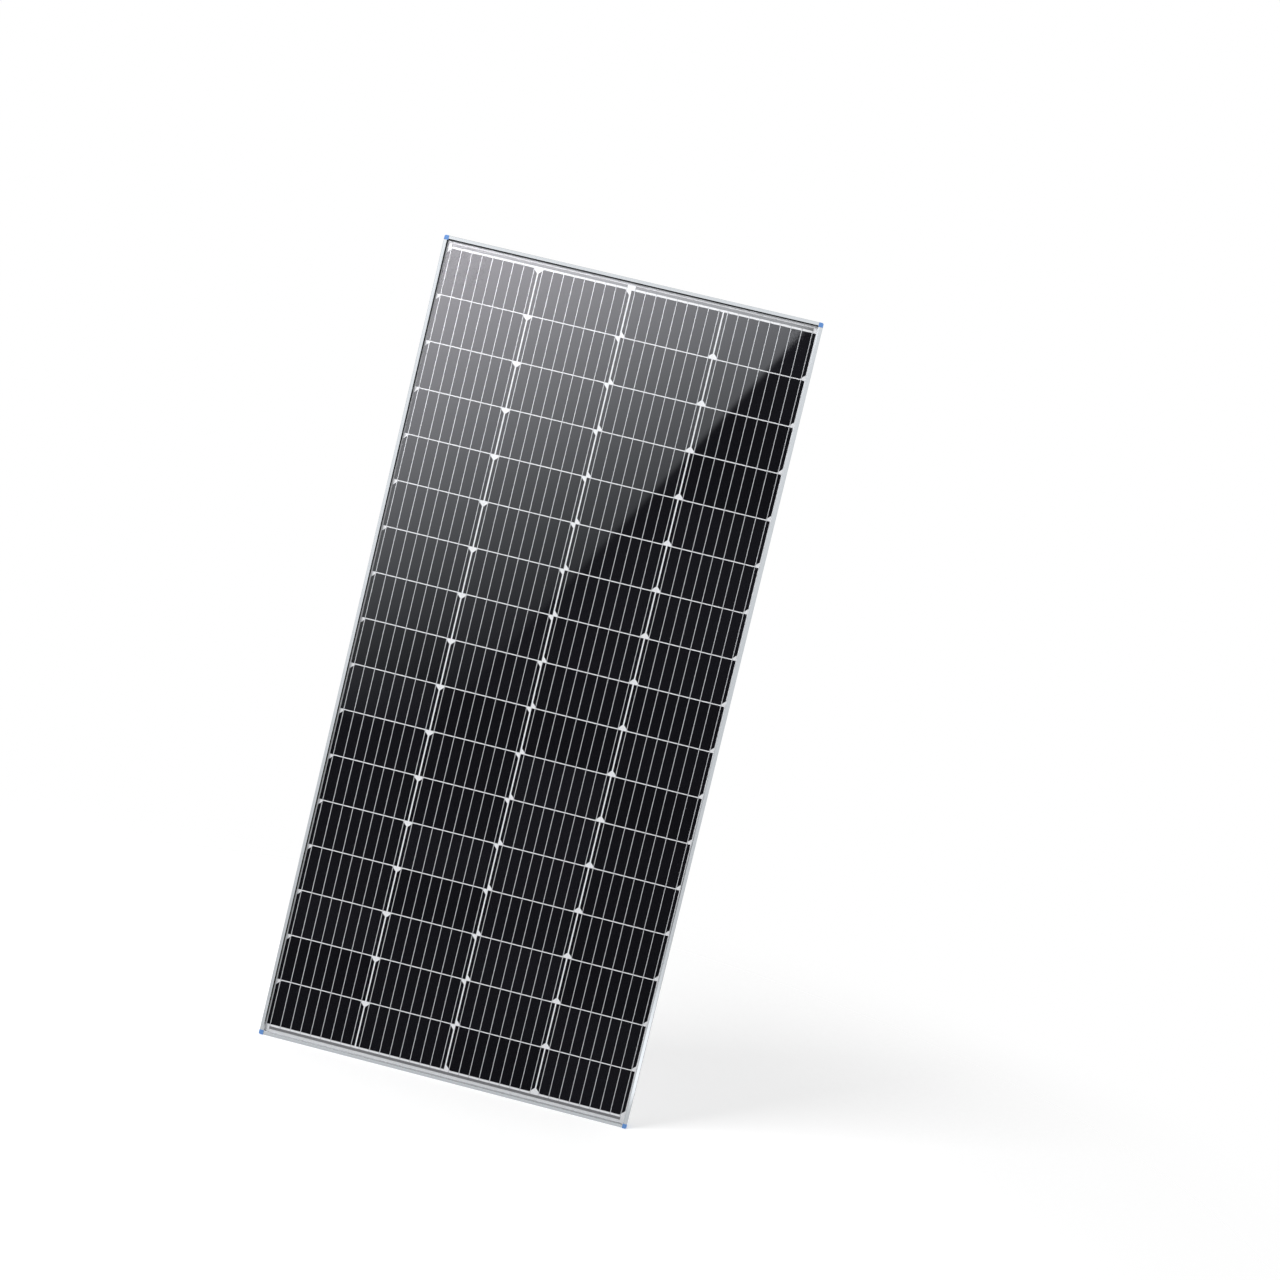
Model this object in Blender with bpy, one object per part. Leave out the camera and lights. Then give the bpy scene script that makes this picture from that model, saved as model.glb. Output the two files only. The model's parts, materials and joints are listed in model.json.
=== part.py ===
"""Framed solar panel with 68 half-cut cells, a junction box and two leads with connectors.

Metres, +Z up. The glass faces -Y and the junction box end is on top. The origin is the
centre of the frame's back mounting plane, and +X is to the right seen from the front.
"""

import math

import bmesh
import bpy
from mathutils import Vector

# Clearances
FIT_GAP = 0.0003
FILM_GAP = 0.0001

# Half-cut cells in four columns
COLUMNS = 4
ROWS = 17
CELL_WIDTH = 0.166
CELL_HEIGHT = 0.083
CELL_CORNER_CUT = 0.0085
CELL_THICK = 0.0002
COLUMN_GAP = 0.0025
ROW_GAP = 0.00177
SIDE_CLEAR = 0.00125
END_CLEAR = 0.01234

# Ribbons on the cells and bus ribbons at their ends
RIBBONS_PER_CELL = 9
RIBBON_EDGE = 0.0065
RIBBON_WIDTH = 0.0011
RIBBON_THICK = 0.0002
BUS_WIDTH = 0.0048
BUS_OFFSET = 0.0038

# Laminate
GLASS_THICK = 0.0032
SHEET_THICK = 0.0004
BACKSHEET_THICK = 0.0003
SEAL_THICK = 0.0005
SEAL_SETBACK = 0.0008
EDGE_CLEAR = 0.0018

# Frame extrusion
FRAME_DEPTH = 0.030
FRAME_WALL = 0.0015
EDGE_CHAMFER = 0.0007
LIP_WIDTH = 0.008
LIP_THICK = 0.0016
LIP_BEVEL_WIDTH = 0.0022
LIP_BEVEL_DEPTH = 0.0011
FLANGE_WIDTH = 0.035
FLANGE_THICK = 0.0016
CHAMBER_WIDTH = 0.0085
MITRE_GAP = 0.0003

# Holes in the back flange
SLOT_WIDTH = 0.009
SLOT_LENGTH = 0.014
SLOT_LINE = 0.0175
LONG_SLOTS = (0.046, 0.086, 0.298)
SHORT_SLOTS = (0.042, 0.081)
GROUND_HOLE = 0.004

# Corner caps and corner keys
CAP_BACK = 0.0095
CAP_LEG = 0.007
CAP_ROUND = 0.003
KEY_ARM = 0.045
KEY_RIB_PITCH = 0.008
KEY_RIB_CUT = 0.0012

# Junction box
BOX_DROP = 0.090
LID_WIDTH = 0.075
LID_HEIGHT = 0.062
LID_PLATE = 0.0024
LID_SKIRT = 0.0015
LID_SKIRT_DROP = 0.0025
LID_EDGE = 0.0010
LID_CORNER = 0.0065
BOX_WALL = 0.002
BOX_FLOOR = 0.002
BOX_DEPTH = 0.014
FOOT_MARGIN = 0.0015
PAD_THICK = 0.001
PAD_INSET = 0.002
GASKET_THICK = 0.0008
GASKET_WIDTH = 0.001
LATCH_HEIGHTS = (0.0175, -0.0145)
LATCH_LENGTH = 0.010
LATCH_REACH = 0.0048
LATCH_DEPTH = 0.004
LATCH_NOTCH = 0.0036
LUG_WIDTH = 0.0065
LUG_REACH = 0.007
LUG_DEPTH = 0.006
LUG_EYE = 0.0026
TERMINAL_WIDTH = 0.016
TERMINAL_HEIGHT = 0.026
TERMINAL_THICK = 0.0008
DIODE_RADIUS = 0.0027
DIODE_LENGTH = 0.0125
DIODE_WIRE = 0.0006

# Cable glands
GLAND_SPREAD = 0.022
GLAND_WALL = 0.0011
GLAND_REACH = 0.0065
GLAND_NUT_WALL = 0.0016
GLAND_NUT_END = 0.0016
GLAND_SEAL = 0.0012
NUT_LOBES = 8
NUT_LOBE_DEPTH = 0.0005

# Leads, with routes as (x, z) from the centre of the junction box
LEAD_RADIUS = 0.0026
LEAD_STEP = 0.015
LEAD_SEAT = 0.0035
LEAD_CLEAR = 0.0004
GLAND_RUN = ((0.0240, -0.066), (0.0290, -0.089), (0.0395, -0.114), (0.0560, -0.138))
LOOP_RUN = (
    (0.0750, -0.160),
    (0.0875, -0.183),
    (0.0945, -0.210),
    (0.0950, -0.238),
    (0.0865, -0.267),
    (0.0690, -0.289),
    (0.0430, -0.307),
    (0.0145, -0.316),
)
PLUG_RUN = ((0.0765, -0.150), (0.0695, -0.131))

# Connectors, with sizes along their axis from the cable end
CONNECTOR_END = (0.0602, -0.1035)
CONNECTOR_TILT = math.radians(20)
CONNECTOR_RADIUS = 0.0077
NUT_TAIL_RADIUS = 0.0052
NUT_TAPER = 0.0075
STUB_RADIUS = 0.005
STUB_REACH = 0.0105
PLUG_NUT = 0.0185
PLUG_BODY = 0.0175
PLUG_NOSE = 0.0225
PLUG_NOSE_RADIUS = 0.0036
PLUG_BORE_RADIUS = 0.0025
PLUG_BORE_DEPTH = 0.0058
PIN_RADIUS = 0.0015
PIN_SHORT = 0.002
LATCH_ARM_LENGTH = 0.0145
LATCH_ARM_WIDTH = 0.0034
LATCH_ARM_THICK = 0.0014
LATCH_ARM_BARB = 0.0012
LATCH_ARM_NOSE = 0.0042
RING_SECTION = 0.0014
SOCKET_NUT = 0.0245
SOCKET_BODY = 0.0395
SOCKET_MOUTH = 0.024
SOCKET_SHORT = 0.004
SOCKET_FLUTES = 10
FLUTE_DEPTH = 0.0006
COLLAR_LENGTH = 0.003
COLLAR_STEP = 0.0006

# Overall size from the cells, their margins and the frame's lip
CELLS_WIDE = COLUMNS * CELL_WIDTH + (COLUMNS - 1) * COLUMN_GAP
CELLS_HIGH = ROWS * CELL_HEIGHT + (ROWS - 1) * ROW_GAP
PANEL_WIDTH = CELLS_WIDE + 2 * (LIP_WIDTH + SIDE_CLEAR)
PANEL_HEIGHT = CELLS_HIGH + 2 * (LIP_WIDTH + END_CLEAR)

# Depths of the layers, from the front face to the shelf that carries the laminate
FRONT = -FRAME_DEPTH
GLASS_Y = FRONT + LIP_THICK + SEAL_THICK + 2 * FIT_GAP
FRONT_SHEET_Y = GLASS_Y + GLASS_THICK + FILM_GAP
RIBBON_Y = FRONT_SHEET_Y + SHEET_THICK + FILM_GAP
CELL_Y = RIBBON_Y + RIBBON_THICK + FILM_GAP
REAR_SHEET_Y = CELL_Y + CELL_THICK
BACKSHEET_Y = REAR_SHEET_Y + SHEET_THICK + FILM_GAP
LAMINATE_BACK = BACKSHEET_Y + BACKSHEET_THICK
SHELF_Y = LAMINATE_BACK + SEAL_THICK + 2 * FIT_GAP
CHAMBER_Y = SHELF_Y + FRAME_WALL
FLANGE_Y = -FLANGE_THICK

# Insets from the frame's outer face
SEAL_INSET = FRAME_WALL + FIT_GAP
LAMINATE_INSET = FRAME_WALL + EDGE_CLEAR
CHAMBER_INNER = FRAME_WALL + CHAMBER_WIDTH
SHELF_WIDTH = CHAMBER_INNER + FRAME_WALL

# Junction box levels, measured from the backsheet
BASE_Y = PAD_THICK + 2 * FIT_GAP
RIM_Y = BASE_Y + BOX_DEPTH
GASKET_Y = RIM_Y + FIT_GAP
LID_Y = GASKET_Y + GASKET_THICK + FIT_GAP
TERMINAL_Y = BASE_Y + BOX_FLOOR + FIT_GAP
GLAND_Y = TERMINAL_Y + TERMINAL_THICK + FIT_GAP + LEAD_RADIUS
WALL_WIDTH = LID_WIDTH - 2 * (LID_SKIRT + FIT_GAP)
WALL_HEIGHT = LID_HEIGHT - 2 * (LID_SKIRT + FIT_GAP)
WALL_CORNER = LID_CORNER - LID_SKIRT - FIT_GAP
FOOT_WIDTH = LID_WIDTH + 2 * FOOT_MARGIN
FOOT_HEIGHT = LID_HEIGHT + 2 * FOOT_MARGIN
BOX_CENTRE = Vector((0, LAMINATE_BACK, PANEL_HEIGHT / 2 - BOX_DROP))

# Round fits of the leads
BORE_RADIUS = LEAD_RADIUS + FIT_GAP
GLAND_RADIUS = BORE_RADIUS + GLAND_WALL
GLAND_NUT_TOP = -FOOT_HEIGHT / 2 - FIT_GAP
GLAND_END = GLAND_NUT_TOP - GLAND_REACH
GLAND_NUT_BOTTOM = GLAND_END - GLAND_SEAL - 2 * FIT_GAP - GLAND_NUT_END
GLAND_NUT_RADIUS = GLAND_RADIUS + FIT_GAP + GLAND_NUT_WALL
LEAD_LOW = LEAD_RADIUS + FIT_GAP
LEAD_LAYER = 2 * LEAD_RADIUS + LEAD_CLEAR
MOUTH_RADIUS = PLUG_NOSE_RADIUS + 2 * FIT_GAP
SOCKET_TUBE_RADIUS = PLUG_BORE_RADIUS - FIT_GAP

ROUND_SIDES = 20
NUT_SIDES = 4 * NUT_LOBES
FLUTE_SIDES = 4 * SOCKET_FLUTES
SMOOTH_ANGLE = math.radians(35)

QUARTER = math.pi / 2


def clear_scene():
    """Remove what the start-up scene holds."""
    for item in list(bpy.data.objects):
        bpy.data.objects.remove(item, do_unlink=True)


def finish(name, colour, roughness, metallic=0.0, transmission=0.0):
    """A Principled material with plain values."""
    material = bpy.data.materials.new(name)
    material.use_nodes = True
    shader = material.node_tree.nodes["Principled BSDF"]
    shader.inputs["Base Color"].default_value = (*colour, 1.0)
    shader.inputs["Roughness"].default_value = roughness
    shader.inputs["Metallic"].default_value = metallic
    shader.inputs["Transmission Weight"].default_value = transmission
    return material


def add_empty(name, place, turn_y=0.0):
    """An empty that carries a group of pieces."""
    empty = bpy.data.objects.new(name, None)
    empty.location = place
    empty.rotation_euler = (0, turn_y, 0)
    bpy.context.scene.collection.objects.link(empty)
    return empty


def add_object(name, data, material, parent=None, place=(0, 0, 0), turn_y=0.0):
    """A named piece with its material, placed under its parent."""
    piece = bpy.data.objects.new(name, data)
    piece.location = place
    piece.rotation_euler = (0, turn_y, 0)
    piece.parent = parent
    if material:
        data.materials.append(material)
    bpy.context.scene.collection.objects.link(piece)
    return piece


def as_mesh(name, shape, smooth=False):
    """A mesh from a bmesh, welded and with its faces pointing out."""
    bmesh.ops.remove_doubles(shape, verts=shape.verts, dist=1e-7)
    bmesh.ops.recalc_face_normals(shape, faces=shape.faces)
    mesh = bpy.data.meshes.new(name)
    shape.to_mesh(mesh)
    shape.free()
    if smooth:
        mesh.shade_smooth()
        mesh.set_sharp_from_angle(angle=SMOOTH_ANGLE)
    return mesh


def add_loft(shape, loops, ring=False):
    """Bridge loops of equal count in order: capped at both ends, or closed to a ring."""
    rows = [[shape.verts.new(point) for point in loop] for loop in loops]
    pairs = list(zip(rows, rows[1:]))
    if ring:
        pairs.append((rows[-1], rows[0]))
    else:
        shape.faces.new(rows[0])
        shape.faces.new(rows[-1])
    count = len(rows[0])
    for low, high in pairs:
        for i in range(count):
            j = (i + 1) % count
            shape.faces.new((low[i], low[j], high[j], high[i]))


def loft_mesh(name, loops, ring=False, smooth=False):
    """A mesh of one loft."""
    shape = bmesh.new()
    add_loft(shape, loops, ring)
    return as_mesh(name, shape, smooth)


def at_depth(outline, y):
    """An outline of (x, z) points set at one depth."""
    return [(x, y, z) for x, z in outline]


def slab_loops(outline, y, thick):
    """The two loops of a flat plate."""
    return [at_depth(outline, y), at_depth(outline, y + thick)]


def block_outline(x, z, width, height):
    """A rectangle about a centre."""
    w, h = width / 2, height / 2
    return [(x - w, z - h), (x + w, z - h), (x + w, z + h), (x - w, z + h)]


def rounded_outline(width, height, radius, steps=3):
    """A rectangle with round corners about the centre."""
    points = []
    for k, (sx, sz) in enumerate(((1, 1), (-1, 1), (-1, -1), (1, -1))):
        cx, cz = sx * (width / 2 - radius), sz * (height / 2 - radius)
        for i in range(steps + 1):
            angle = QUARTER * (k + i / steps)
            points.append((cx + radius * math.cos(angle), cz + radius * math.sin(angle)))
    return points


def polar_loop(radius, z, sides=ROUND_SIDES, lobes=0, depth=0.0):
    """A circle about local Z, or one whose radius dips by depth between its lobes."""
    points = []
    for i in range(sides):
        angle = 2 * math.pi * i / sides
        r = radius - depth * (1 - math.cos(lobes * angle)) / 2
        points.append((r * math.cos(angle), r * math.sin(angle), z))
    return points


def use_boolean(piece, cutter, operation):
    """Join or cut with a helper that is not part of the object itself."""
    cutter.hide_render = True
    cutter.display_type = "WIRE"
    modifier = piece.modifiers.new(operation.lower(), "BOOLEAN")
    modifier.operation = operation
    modifier.solver = "EXACT"
    modifier.object = cutter


def panel_outline(inset):
    """The panel's outline with cut corners, inset from the frame's outer face.

    The corner cut keeps the same distance from the corner cap at every inset.
    """
    reach = CAP_LEG + (FIT_GAP + inset - SEAL_INSET) * math.sqrt(2)
    cut = max(reach - 2 * inset, FIT_GAP)
    w, h = PANEL_WIDTH / 2 - inset, PANEL_HEIGHT / 2 - inset
    return [
        (-w + cut, -h),
        (w - cut, -h),
        (w, -h + cut),
        (w, h - cut),
        (w - cut, h),
        (-w + cut, h),
        (-w, h - cut),
        (-w, -h + cut),
    ]


def rail_profile():
    """Outer loop and chamber loop of the extrusion, as (inset, depth)."""
    c = EDGE_CHAMFER
    outer = [
        (0, FRONT + c),
        (c, FRONT),
        (LIP_WIDTH - LIP_BEVEL_WIDTH, FRONT),
        (LIP_WIDTH, FRONT + LIP_BEVEL_DEPTH),
        (LIP_WIDTH, FRONT + LIP_THICK),
        (FRAME_WALL, FRONT + LIP_THICK),
        (FRAME_WALL, SHELF_Y),
        (SHELF_WIDTH, SHELF_Y),
        (SHELF_WIDTH, FLANGE_Y),
        (FLANGE_WIDTH, FLANGE_Y),
        (FLANGE_WIDTH, 0),
        (c, 0),
        (0, -c),
    ]
    chamber = [
        (FRAME_WALL, CHAMBER_Y),
        (CHAMBER_INNER, CHAMBER_Y),
        (CHAMBER_INNER, FLANGE_Y),
        (FRAME_WALL, FLANGE_Y),
    ]
    return outer, chamber


def rail_mesh(name, length):
    """A hollow rail along local X with mitred ends, its outer face at local z = 0."""
    shape = bmesh.new()
    ends = ([], [])
    for loop in rail_profile():
        rows = []
        for side, edges in zip((-1, 1), ends):
            reach = length / 2 - MITRE_GAP
            row = [shape.verts.new((side * (reach - p), y, -p)) for p, y in loop]
            edges += [shape.edges.new((row[i - 1], row[i])) for i in range(len(row))]
            rows.append(row)
        for i in range(len(loop)):
            shape.faces.new((rows[0][i - 1], rows[0][i], rows[1][i], rows[1][i - 1]))
    for edges in ends:
        bmesh.ops.triangle_fill(shape, use_beauty=True, edges=edges)
    return as_mesh(name, shape)


def slot_outline(x, z, length, width, steps=6):
    """A slot along local X: two half circles and their sides."""
    r = width / 2
    points = []
    for k, sx in enumerate((1, -1)):
        for i in range(steps + 1):
            angle = math.pi * (k - 0.5 + i / steps)
            dx = sx * (length - width) / 2 + r * math.cos(angle)
            points.append((x + dx, z + r * math.sin(angle)))
    return points


def cap_loops(radius, grow=0.0):
    """A corner cap in its corner's frame, where inwards is -X and -Z.

    With no radius it is a sharp cutter, and grow widens it by a clearance.
    """
    def outline(leg, corner):
        arc = []
        for i in range(5):
            angle = QUARTER * i / 4
            arc.append((
                grow - radius * (1 - math.cos(angle)),
                grow - radius * (1 - math.sin(angle)),
            ))
        far = -leg - grow
        return arc + [(far, grow), (-corner - grow, -corner - grow), (grow, far)]

    front = outline(LIP_WIDTH, LIP_WIDTH)
    column = outline(CAP_LEG, CAP_LEG / 2)
    back = outline(CAP_BACK, CAP_BACK)
    lip_y = FRONT + LIP_THICK + grow
    flange_y = FLANGE_Y - grow
    return [
        at_depth(front, FRONT - grow),
        at_depth(front, lip_y),
        at_depth(column, lip_y),
        at_depth(column, flange_y),
        at_depth(back, flange_y),
        at_depth(back, grow),
    ]


def rail_cutter(name, length, slots, ground_hole):
    """The slots, the ground hole and both corner cuts of one rail."""
    shape = bmesh.new()
    low, thick = FLANGE_Y - FLANGE_THICK / 2, 2 * FLANGE_THICK
    for side in (-1, 1):
        for reach in slots:
            x = side * (length / 2 - reach)
            outline = slot_outline(x, -SLOT_LINE, SLOT_LENGTH, SLOT_WIDTH)
            add_loft(shape, slab_loops(outline, low, thick))
        corner = [
            [(side * (length / 2 + x), y, z) for x, y, z in loop] for loop in cap_loops(0, FIT_GAP)
        ]
        add_loft(shape, corner)
    if ground_hole:
        outline = slot_outline(0, -SLOT_LINE, GROUND_HOLE, GROUND_HOLE)
        add_loft(shape, slab_loops(outline, low, thick))
    return as_mesh(name, shape)


def make_frame(aluminium):
    """Four mitred rails with their mounting slots."""
    rails = (
        ("frame_top", PANEL_WIDTH, (0, 0, PANEL_HEIGHT / 2), 0, SHORT_SLOTS, False),
        ("frame_right", PANEL_HEIGHT, (PANEL_WIDTH / 2, 0, 0), QUARTER, LONG_SLOTS, True),
        ("frame_bottom", PANEL_WIDTH, (0, 0, -PANEL_HEIGHT / 2), 2 * QUARTER, SHORT_SLOTS, False),
        ("frame_left", PANEL_HEIGHT, (-PANEL_WIDTH / 2, 0, 0), 3 * QUARTER, LONG_SLOTS, True),
    )
    for name, length, place, turn, slots, ground_hole in rails:
        rail = add_object(name, rail_mesh(name, length), aluminium, None, place, turn)
        cutter = rail_cutter(name + "_cutter", length, slots, ground_hole)
        helper = add_object(name + "_cutter", cutter, None, None, place, turn)
        use_boolean(rail, helper, "DIFFERENCE")


def key_outline():
    """An L of two arms with saw ribs on their inner sides, inwards being -X and -Z."""
    near = FRAME_WALL + FIT_GAP
    far = CHAMBER_INNER - FIT_GAP
    nose = CAP_LEG + 2 * FIT_GAP
    ribs = []
    reach = far + KEY_RIB_PITCH
    while reach + KEY_RIB_PITCH / 2 < KEY_ARM:
        ribs += [(reach, far), (reach, far - KEY_RIB_CUT)]
        reach += KEY_RIB_PITCH
    arm = [(near, nose - near), (near, KEY_ARM), (far, KEY_ARM)]
    arm += [(q, p) for p, q in reversed(ribs)]
    other = [(q, p) for p, q in reversed(arm)]
    return [(-p, -q) for p, q in arm + [(far, far)] + other]


def make_corners(aluminium, blue):
    """A key in the rails' chambers and a plastic cap at each corner."""
    key_y = CHAMBER_Y + FIT_GAP
    key_thick = FLANGE_Y - FIT_GAP - key_y
    w, h = PANEL_WIDTH / 2, PANEL_HEIGHT / 2
    corners = (("tr", w, h), ("br", w, -h), ("bl", -w, -h), ("tl", -w, h))
    for k, (mark, x, z) in enumerate(corners):
        key = loft_mesh("corner_key", slab_loops(key_outline(), key_y, key_thick))
        add_object("corner_key_" + mark, key, aluminium, None, (x, 0, z), k * QUARTER)
        cap = loft_mesh("corner_cap", cap_loops(CAP_ROUND))
        add_object("corner_cap_" + mark, cap, blue, None, (x, 0, z), k * QUARTER)


def column_x(column):
    """Centre of a column of cells, counted from the left."""
    return -CELLS_WIDE / 2 + CELL_WIDTH / 2 + column * (CELL_WIDTH + COLUMN_GAP)


def row_z(row):
    """Centre of a row of cells, counted from the top."""
    return CELLS_HIGH / 2 - CELL_HEIGHT / 2 - row * (CELL_HEIGHT + ROW_GAP)


def cell_outline(column, row):
    """A half cell with two cut corners: on top in the left columns, below in the right ones."""
    x, z = column_x(column), row_z(row)
    w, h, c = CELL_WIDTH / 2, CELL_HEIGHT / 2, CELL_CORNER_CUT
    side = 1 if column < COLUMNS / 2 else -1
    points = [(-w, -h), (w, -h), (w, h - c), (w - c, h), (-w + c, h), (-w, h - c)]
    return [(x + px, z + side * pz) for px, pz in points]


def ribbon_xs(column):
    """Centres of the ribbons on one column."""
    span = CELL_WIDTH - 2 * RIBBON_EDGE
    start = column_x(column) - span / 2
    return [start + span * i / (RIBBONS_PER_CELL - 1) for i in range(RIBBONS_PER_CELL)]


def comb_outline(columns):
    """A bus ribbon above the cells with all the ribbons that hang from it."""
    xs = [x for column in columns for x in ribbon_xs(column)]
    w = RIBBON_WIDTH / 2
    low = -CELLS_HIGH / 2 - BUS_OFFSET + FILM_GAP
    bus = CELLS_HIGH / 2 + BUS_OFFSET
    points = [(xs[-1] + w, bus + BUS_WIDTH), (xs[0] - w, bus + BUS_WIDTH)]
    for x in xs:
        points += [(x - w, bus), (x - w, low), (x + w, low), (x + w, bus)]
    return points


def make_laminate(glass, sheet, cell, tin, white, rubber):
    """Glass, encapsulant, cells, ribbons and backsheet, with the seal round their edge."""
    edge = panel_outline(LAMINATE_INSET)
    plates = (
        ("front_glass", GLASS_Y, GLASS_THICK, glass),
        ("front_encapsulant", FRONT_SHEET_Y, SHEET_THICK, sheet),
        ("backsheet", BACKSHEET_Y, BACKSHEET_THICK, white),
    )
    for name, y, thick, material in plates:
        add_object(name, loft_mesh(name, slab_loops(edge, y, thick)), material)

    carrier = loft_mesh("cell_sheet", slab_loops(edge, REAR_SHEET_Y, SHEET_THICK))
    cells = bmesh.new()
    for column in range(COLUMNS):
        for row in range(ROWS):
            thick = CELL_THICK + SHEET_THICK / 2
            add_loft(cells, slab_loops(cell_outline(column, row), CELL_Y, thick))
    helper = add_object("cell_islands", as_mesh("cell_islands", cells), None)
    use_boolean(add_object("cell_sheet", carrier, cell), helper, "UNION")

    half = COLUMNS // 2
    for name, columns in (("ribbons_left", range(half)), ("ribbons_right", range(half, COLUMNS))):
        comb = slab_loops(comb_outline(columns), RIBBON_Y, RIBBON_THICK)
        add_object(name, loft_mesh(name, comb), tin)
    wide = ribbon_xs(COLUMNS - 1)[-1] - ribbon_xs(0)[0] + RIBBON_WIDTH
    bus_z = -CELLS_HIGH / 2 - BUS_OFFSET - BUS_WIDTH / 2
    bus = slab_loops(block_outline(0, bus_z, wide, BUS_WIDTH), RIBBON_Y, RIBBON_THICK)
    add_object("bus_bottom", loft_mesh("bus_bottom", bus), tin)

    mouth = LIP_WIDTH - SEAL_SETBACK
    web = LAMINATE_INSET - FIT_GAP
    front, back = FRONT + LIP_THICK + FIT_GAP, SHELF_Y - FIT_GAP
    profile = (
        (SEAL_INSET, front),
        (mouth, front),
        (mouth, front + SEAL_THICK),
        (web, front + SEAL_THICK),
        (web, back - SEAL_THICK),
        (mouth, back - SEAL_THICK),
        (mouth, back),
        (SEAL_INSET, back),
    )
    loops = [at_depth(panel_outline(inset), y) for inset, y in profile]
    add_object("edge_seal", loft_mesh("edge_seal", loops, ring=True), rubber)


def wall_loop(grow, y):
    """The junction box wall's outline grown by a margin."""
    radius = WALL_CORNER + grow
    outline = rounded_outline(WALL_WIDTH + 2 * grow, WALL_HEIGHT + 2 * grow, radius)
    return at_depth(outline, y)


def add_side_blocks(shape, low, thick, start):
    """The four latch blocks at the box's sides, each with a notch in its outer face."""
    end = LID_WIDTH / 2 + LATCH_REACH
    deep = LATCH_REACH / 2
    n, h = LATCH_NOTCH / 2, LATCH_LENGTH / 2
    for side in (-1, 1):
        for z in LATCH_HEIGHTS:
            points = [
                (start, -h),
                (end, -h),
                (end, -n),
                (end - deep, -n),
                (end - deep, n),
                (end, n),
                (end, h),
                (start, h),
            ]
            outline = [(side * px, z + pz) for px, pz in points]
            add_loft(shape, slab_loops(outline, low, thick))


def add_turned(shape, profile, place, sides=ROUND_SIDES):
    """A turned solid along local Z, from (radius, z) pairs."""
    loops = []
    for radius, z in profile:
        loop = polar_loop(radius, z, sides)
        loops.append([(x + place[0], y + place[1], pz + place[2]) for x, y, pz in loop])
    add_loft(shape, loops)


def make_box_base(parent, plastic):
    """A tray on a wider foot, with gland stubs, latch blocks and a lug."""
    skirt = LID_SKIRT + FIT_GAP
    foot = BASE_Y + BOX_FLOOR
    loops = [
        wall_loop(-BOX_WALL, foot),
        wall_loop(-BOX_WALL, RIM_Y),
        wall_loop(0, RIM_Y),
        wall_loop(0, foot),
        wall_loop(skirt + FOOT_MARGIN, foot),
        wall_loop(skirt + FOOT_MARGIN, BASE_Y),
    ]
    base = add_object("box_base", loft_mesh("box_base", loops), plastic, parent)

    inside = -WALL_HEIGHT / 2 + BOX_WALL / 2
    details = bmesh.new()
    for side in (-1, 1):
        profile = ((GLAND_RADIUS, inside), (GLAND_RADIUS, GLAND_END))
        add_turned(details, profile, (side * GLAND_SPREAD, GLAND_Y, 0))
    latch_y = LID_Y - LID_SKIRT_DROP - FIT_GAP - LATCH_DEPTH
    add_side_blocks(details, latch_y, LATCH_DEPTH, WALL_WIDTH / 2 - BOX_WALL / 2)
    top = LID_HEIGHT / 2 + LUG_REACH
    lug_low = WALL_HEIGHT / 2 - BOX_WALL / 2
    lug = block_outline(0, (top + lug_low) / 2, LUG_WIDTH, top - lug_low)
    add_loft(details, slab_loops(lug, foot - BOX_FLOOR / 2, LUG_DEPTH))
    helper = add_object("box_details", as_mesh("box_details", details), None, parent)
    use_boolean(base, helper, "UNION")

    holes = bmesh.new()
    for side in (-1, 1):
        profile = ((BORE_RADIUS, inside + BOX_WALL), (BORE_RADIUS, GLAND_END - BOX_WALL))
        add_turned(holes, profile, (side * GLAND_SPREAD, GLAND_Y, 0))
    eye = block_outline(0, top - LUG_REACH / 2, LUG_EYE, LUG_EYE)
    add_loft(holes, slab_loops(eye, BASE_Y, 2 * LUG_DEPTH))
    helper = add_object("box_holes", as_mesh("box_holes", holes), None, parent)
    use_boolean(base, helper, "DIFFERENCE")


def make_box_lid(parent, plastic):
    """A flat lid with a bevelled edge, a skirt over the wall and four latch blocks."""
    skirt = LID_SKIRT + FIT_GAP
    drop = LID_Y - LID_SKIRT_DROP
    top = LID_Y + LID_PLATE
    loops = [
        wall_loop(FIT_GAP, LID_Y),
        wall_loop(FIT_GAP, drop),
        wall_loop(skirt, drop),
        wall_loop(skirt, top - LID_EDGE),
        wall_loop(skirt - LID_EDGE, top),
    ]
    lid = add_object("box_lid", loft_mesh("box_lid", loops), plastic, parent)
    blocks = bmesh.new()
    thick = top - LID_EDGE - drop - FIT_GAP
    add_side_blocks(blocks, drop, thick, LID_WIDTH / 2 - LID_SKIRT / 2)
    helper = add_object("lid_blocks", as_mesh("lid_blocks", blocks), None, parent)
    use_boolean(lid, helper, "UNION")


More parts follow.
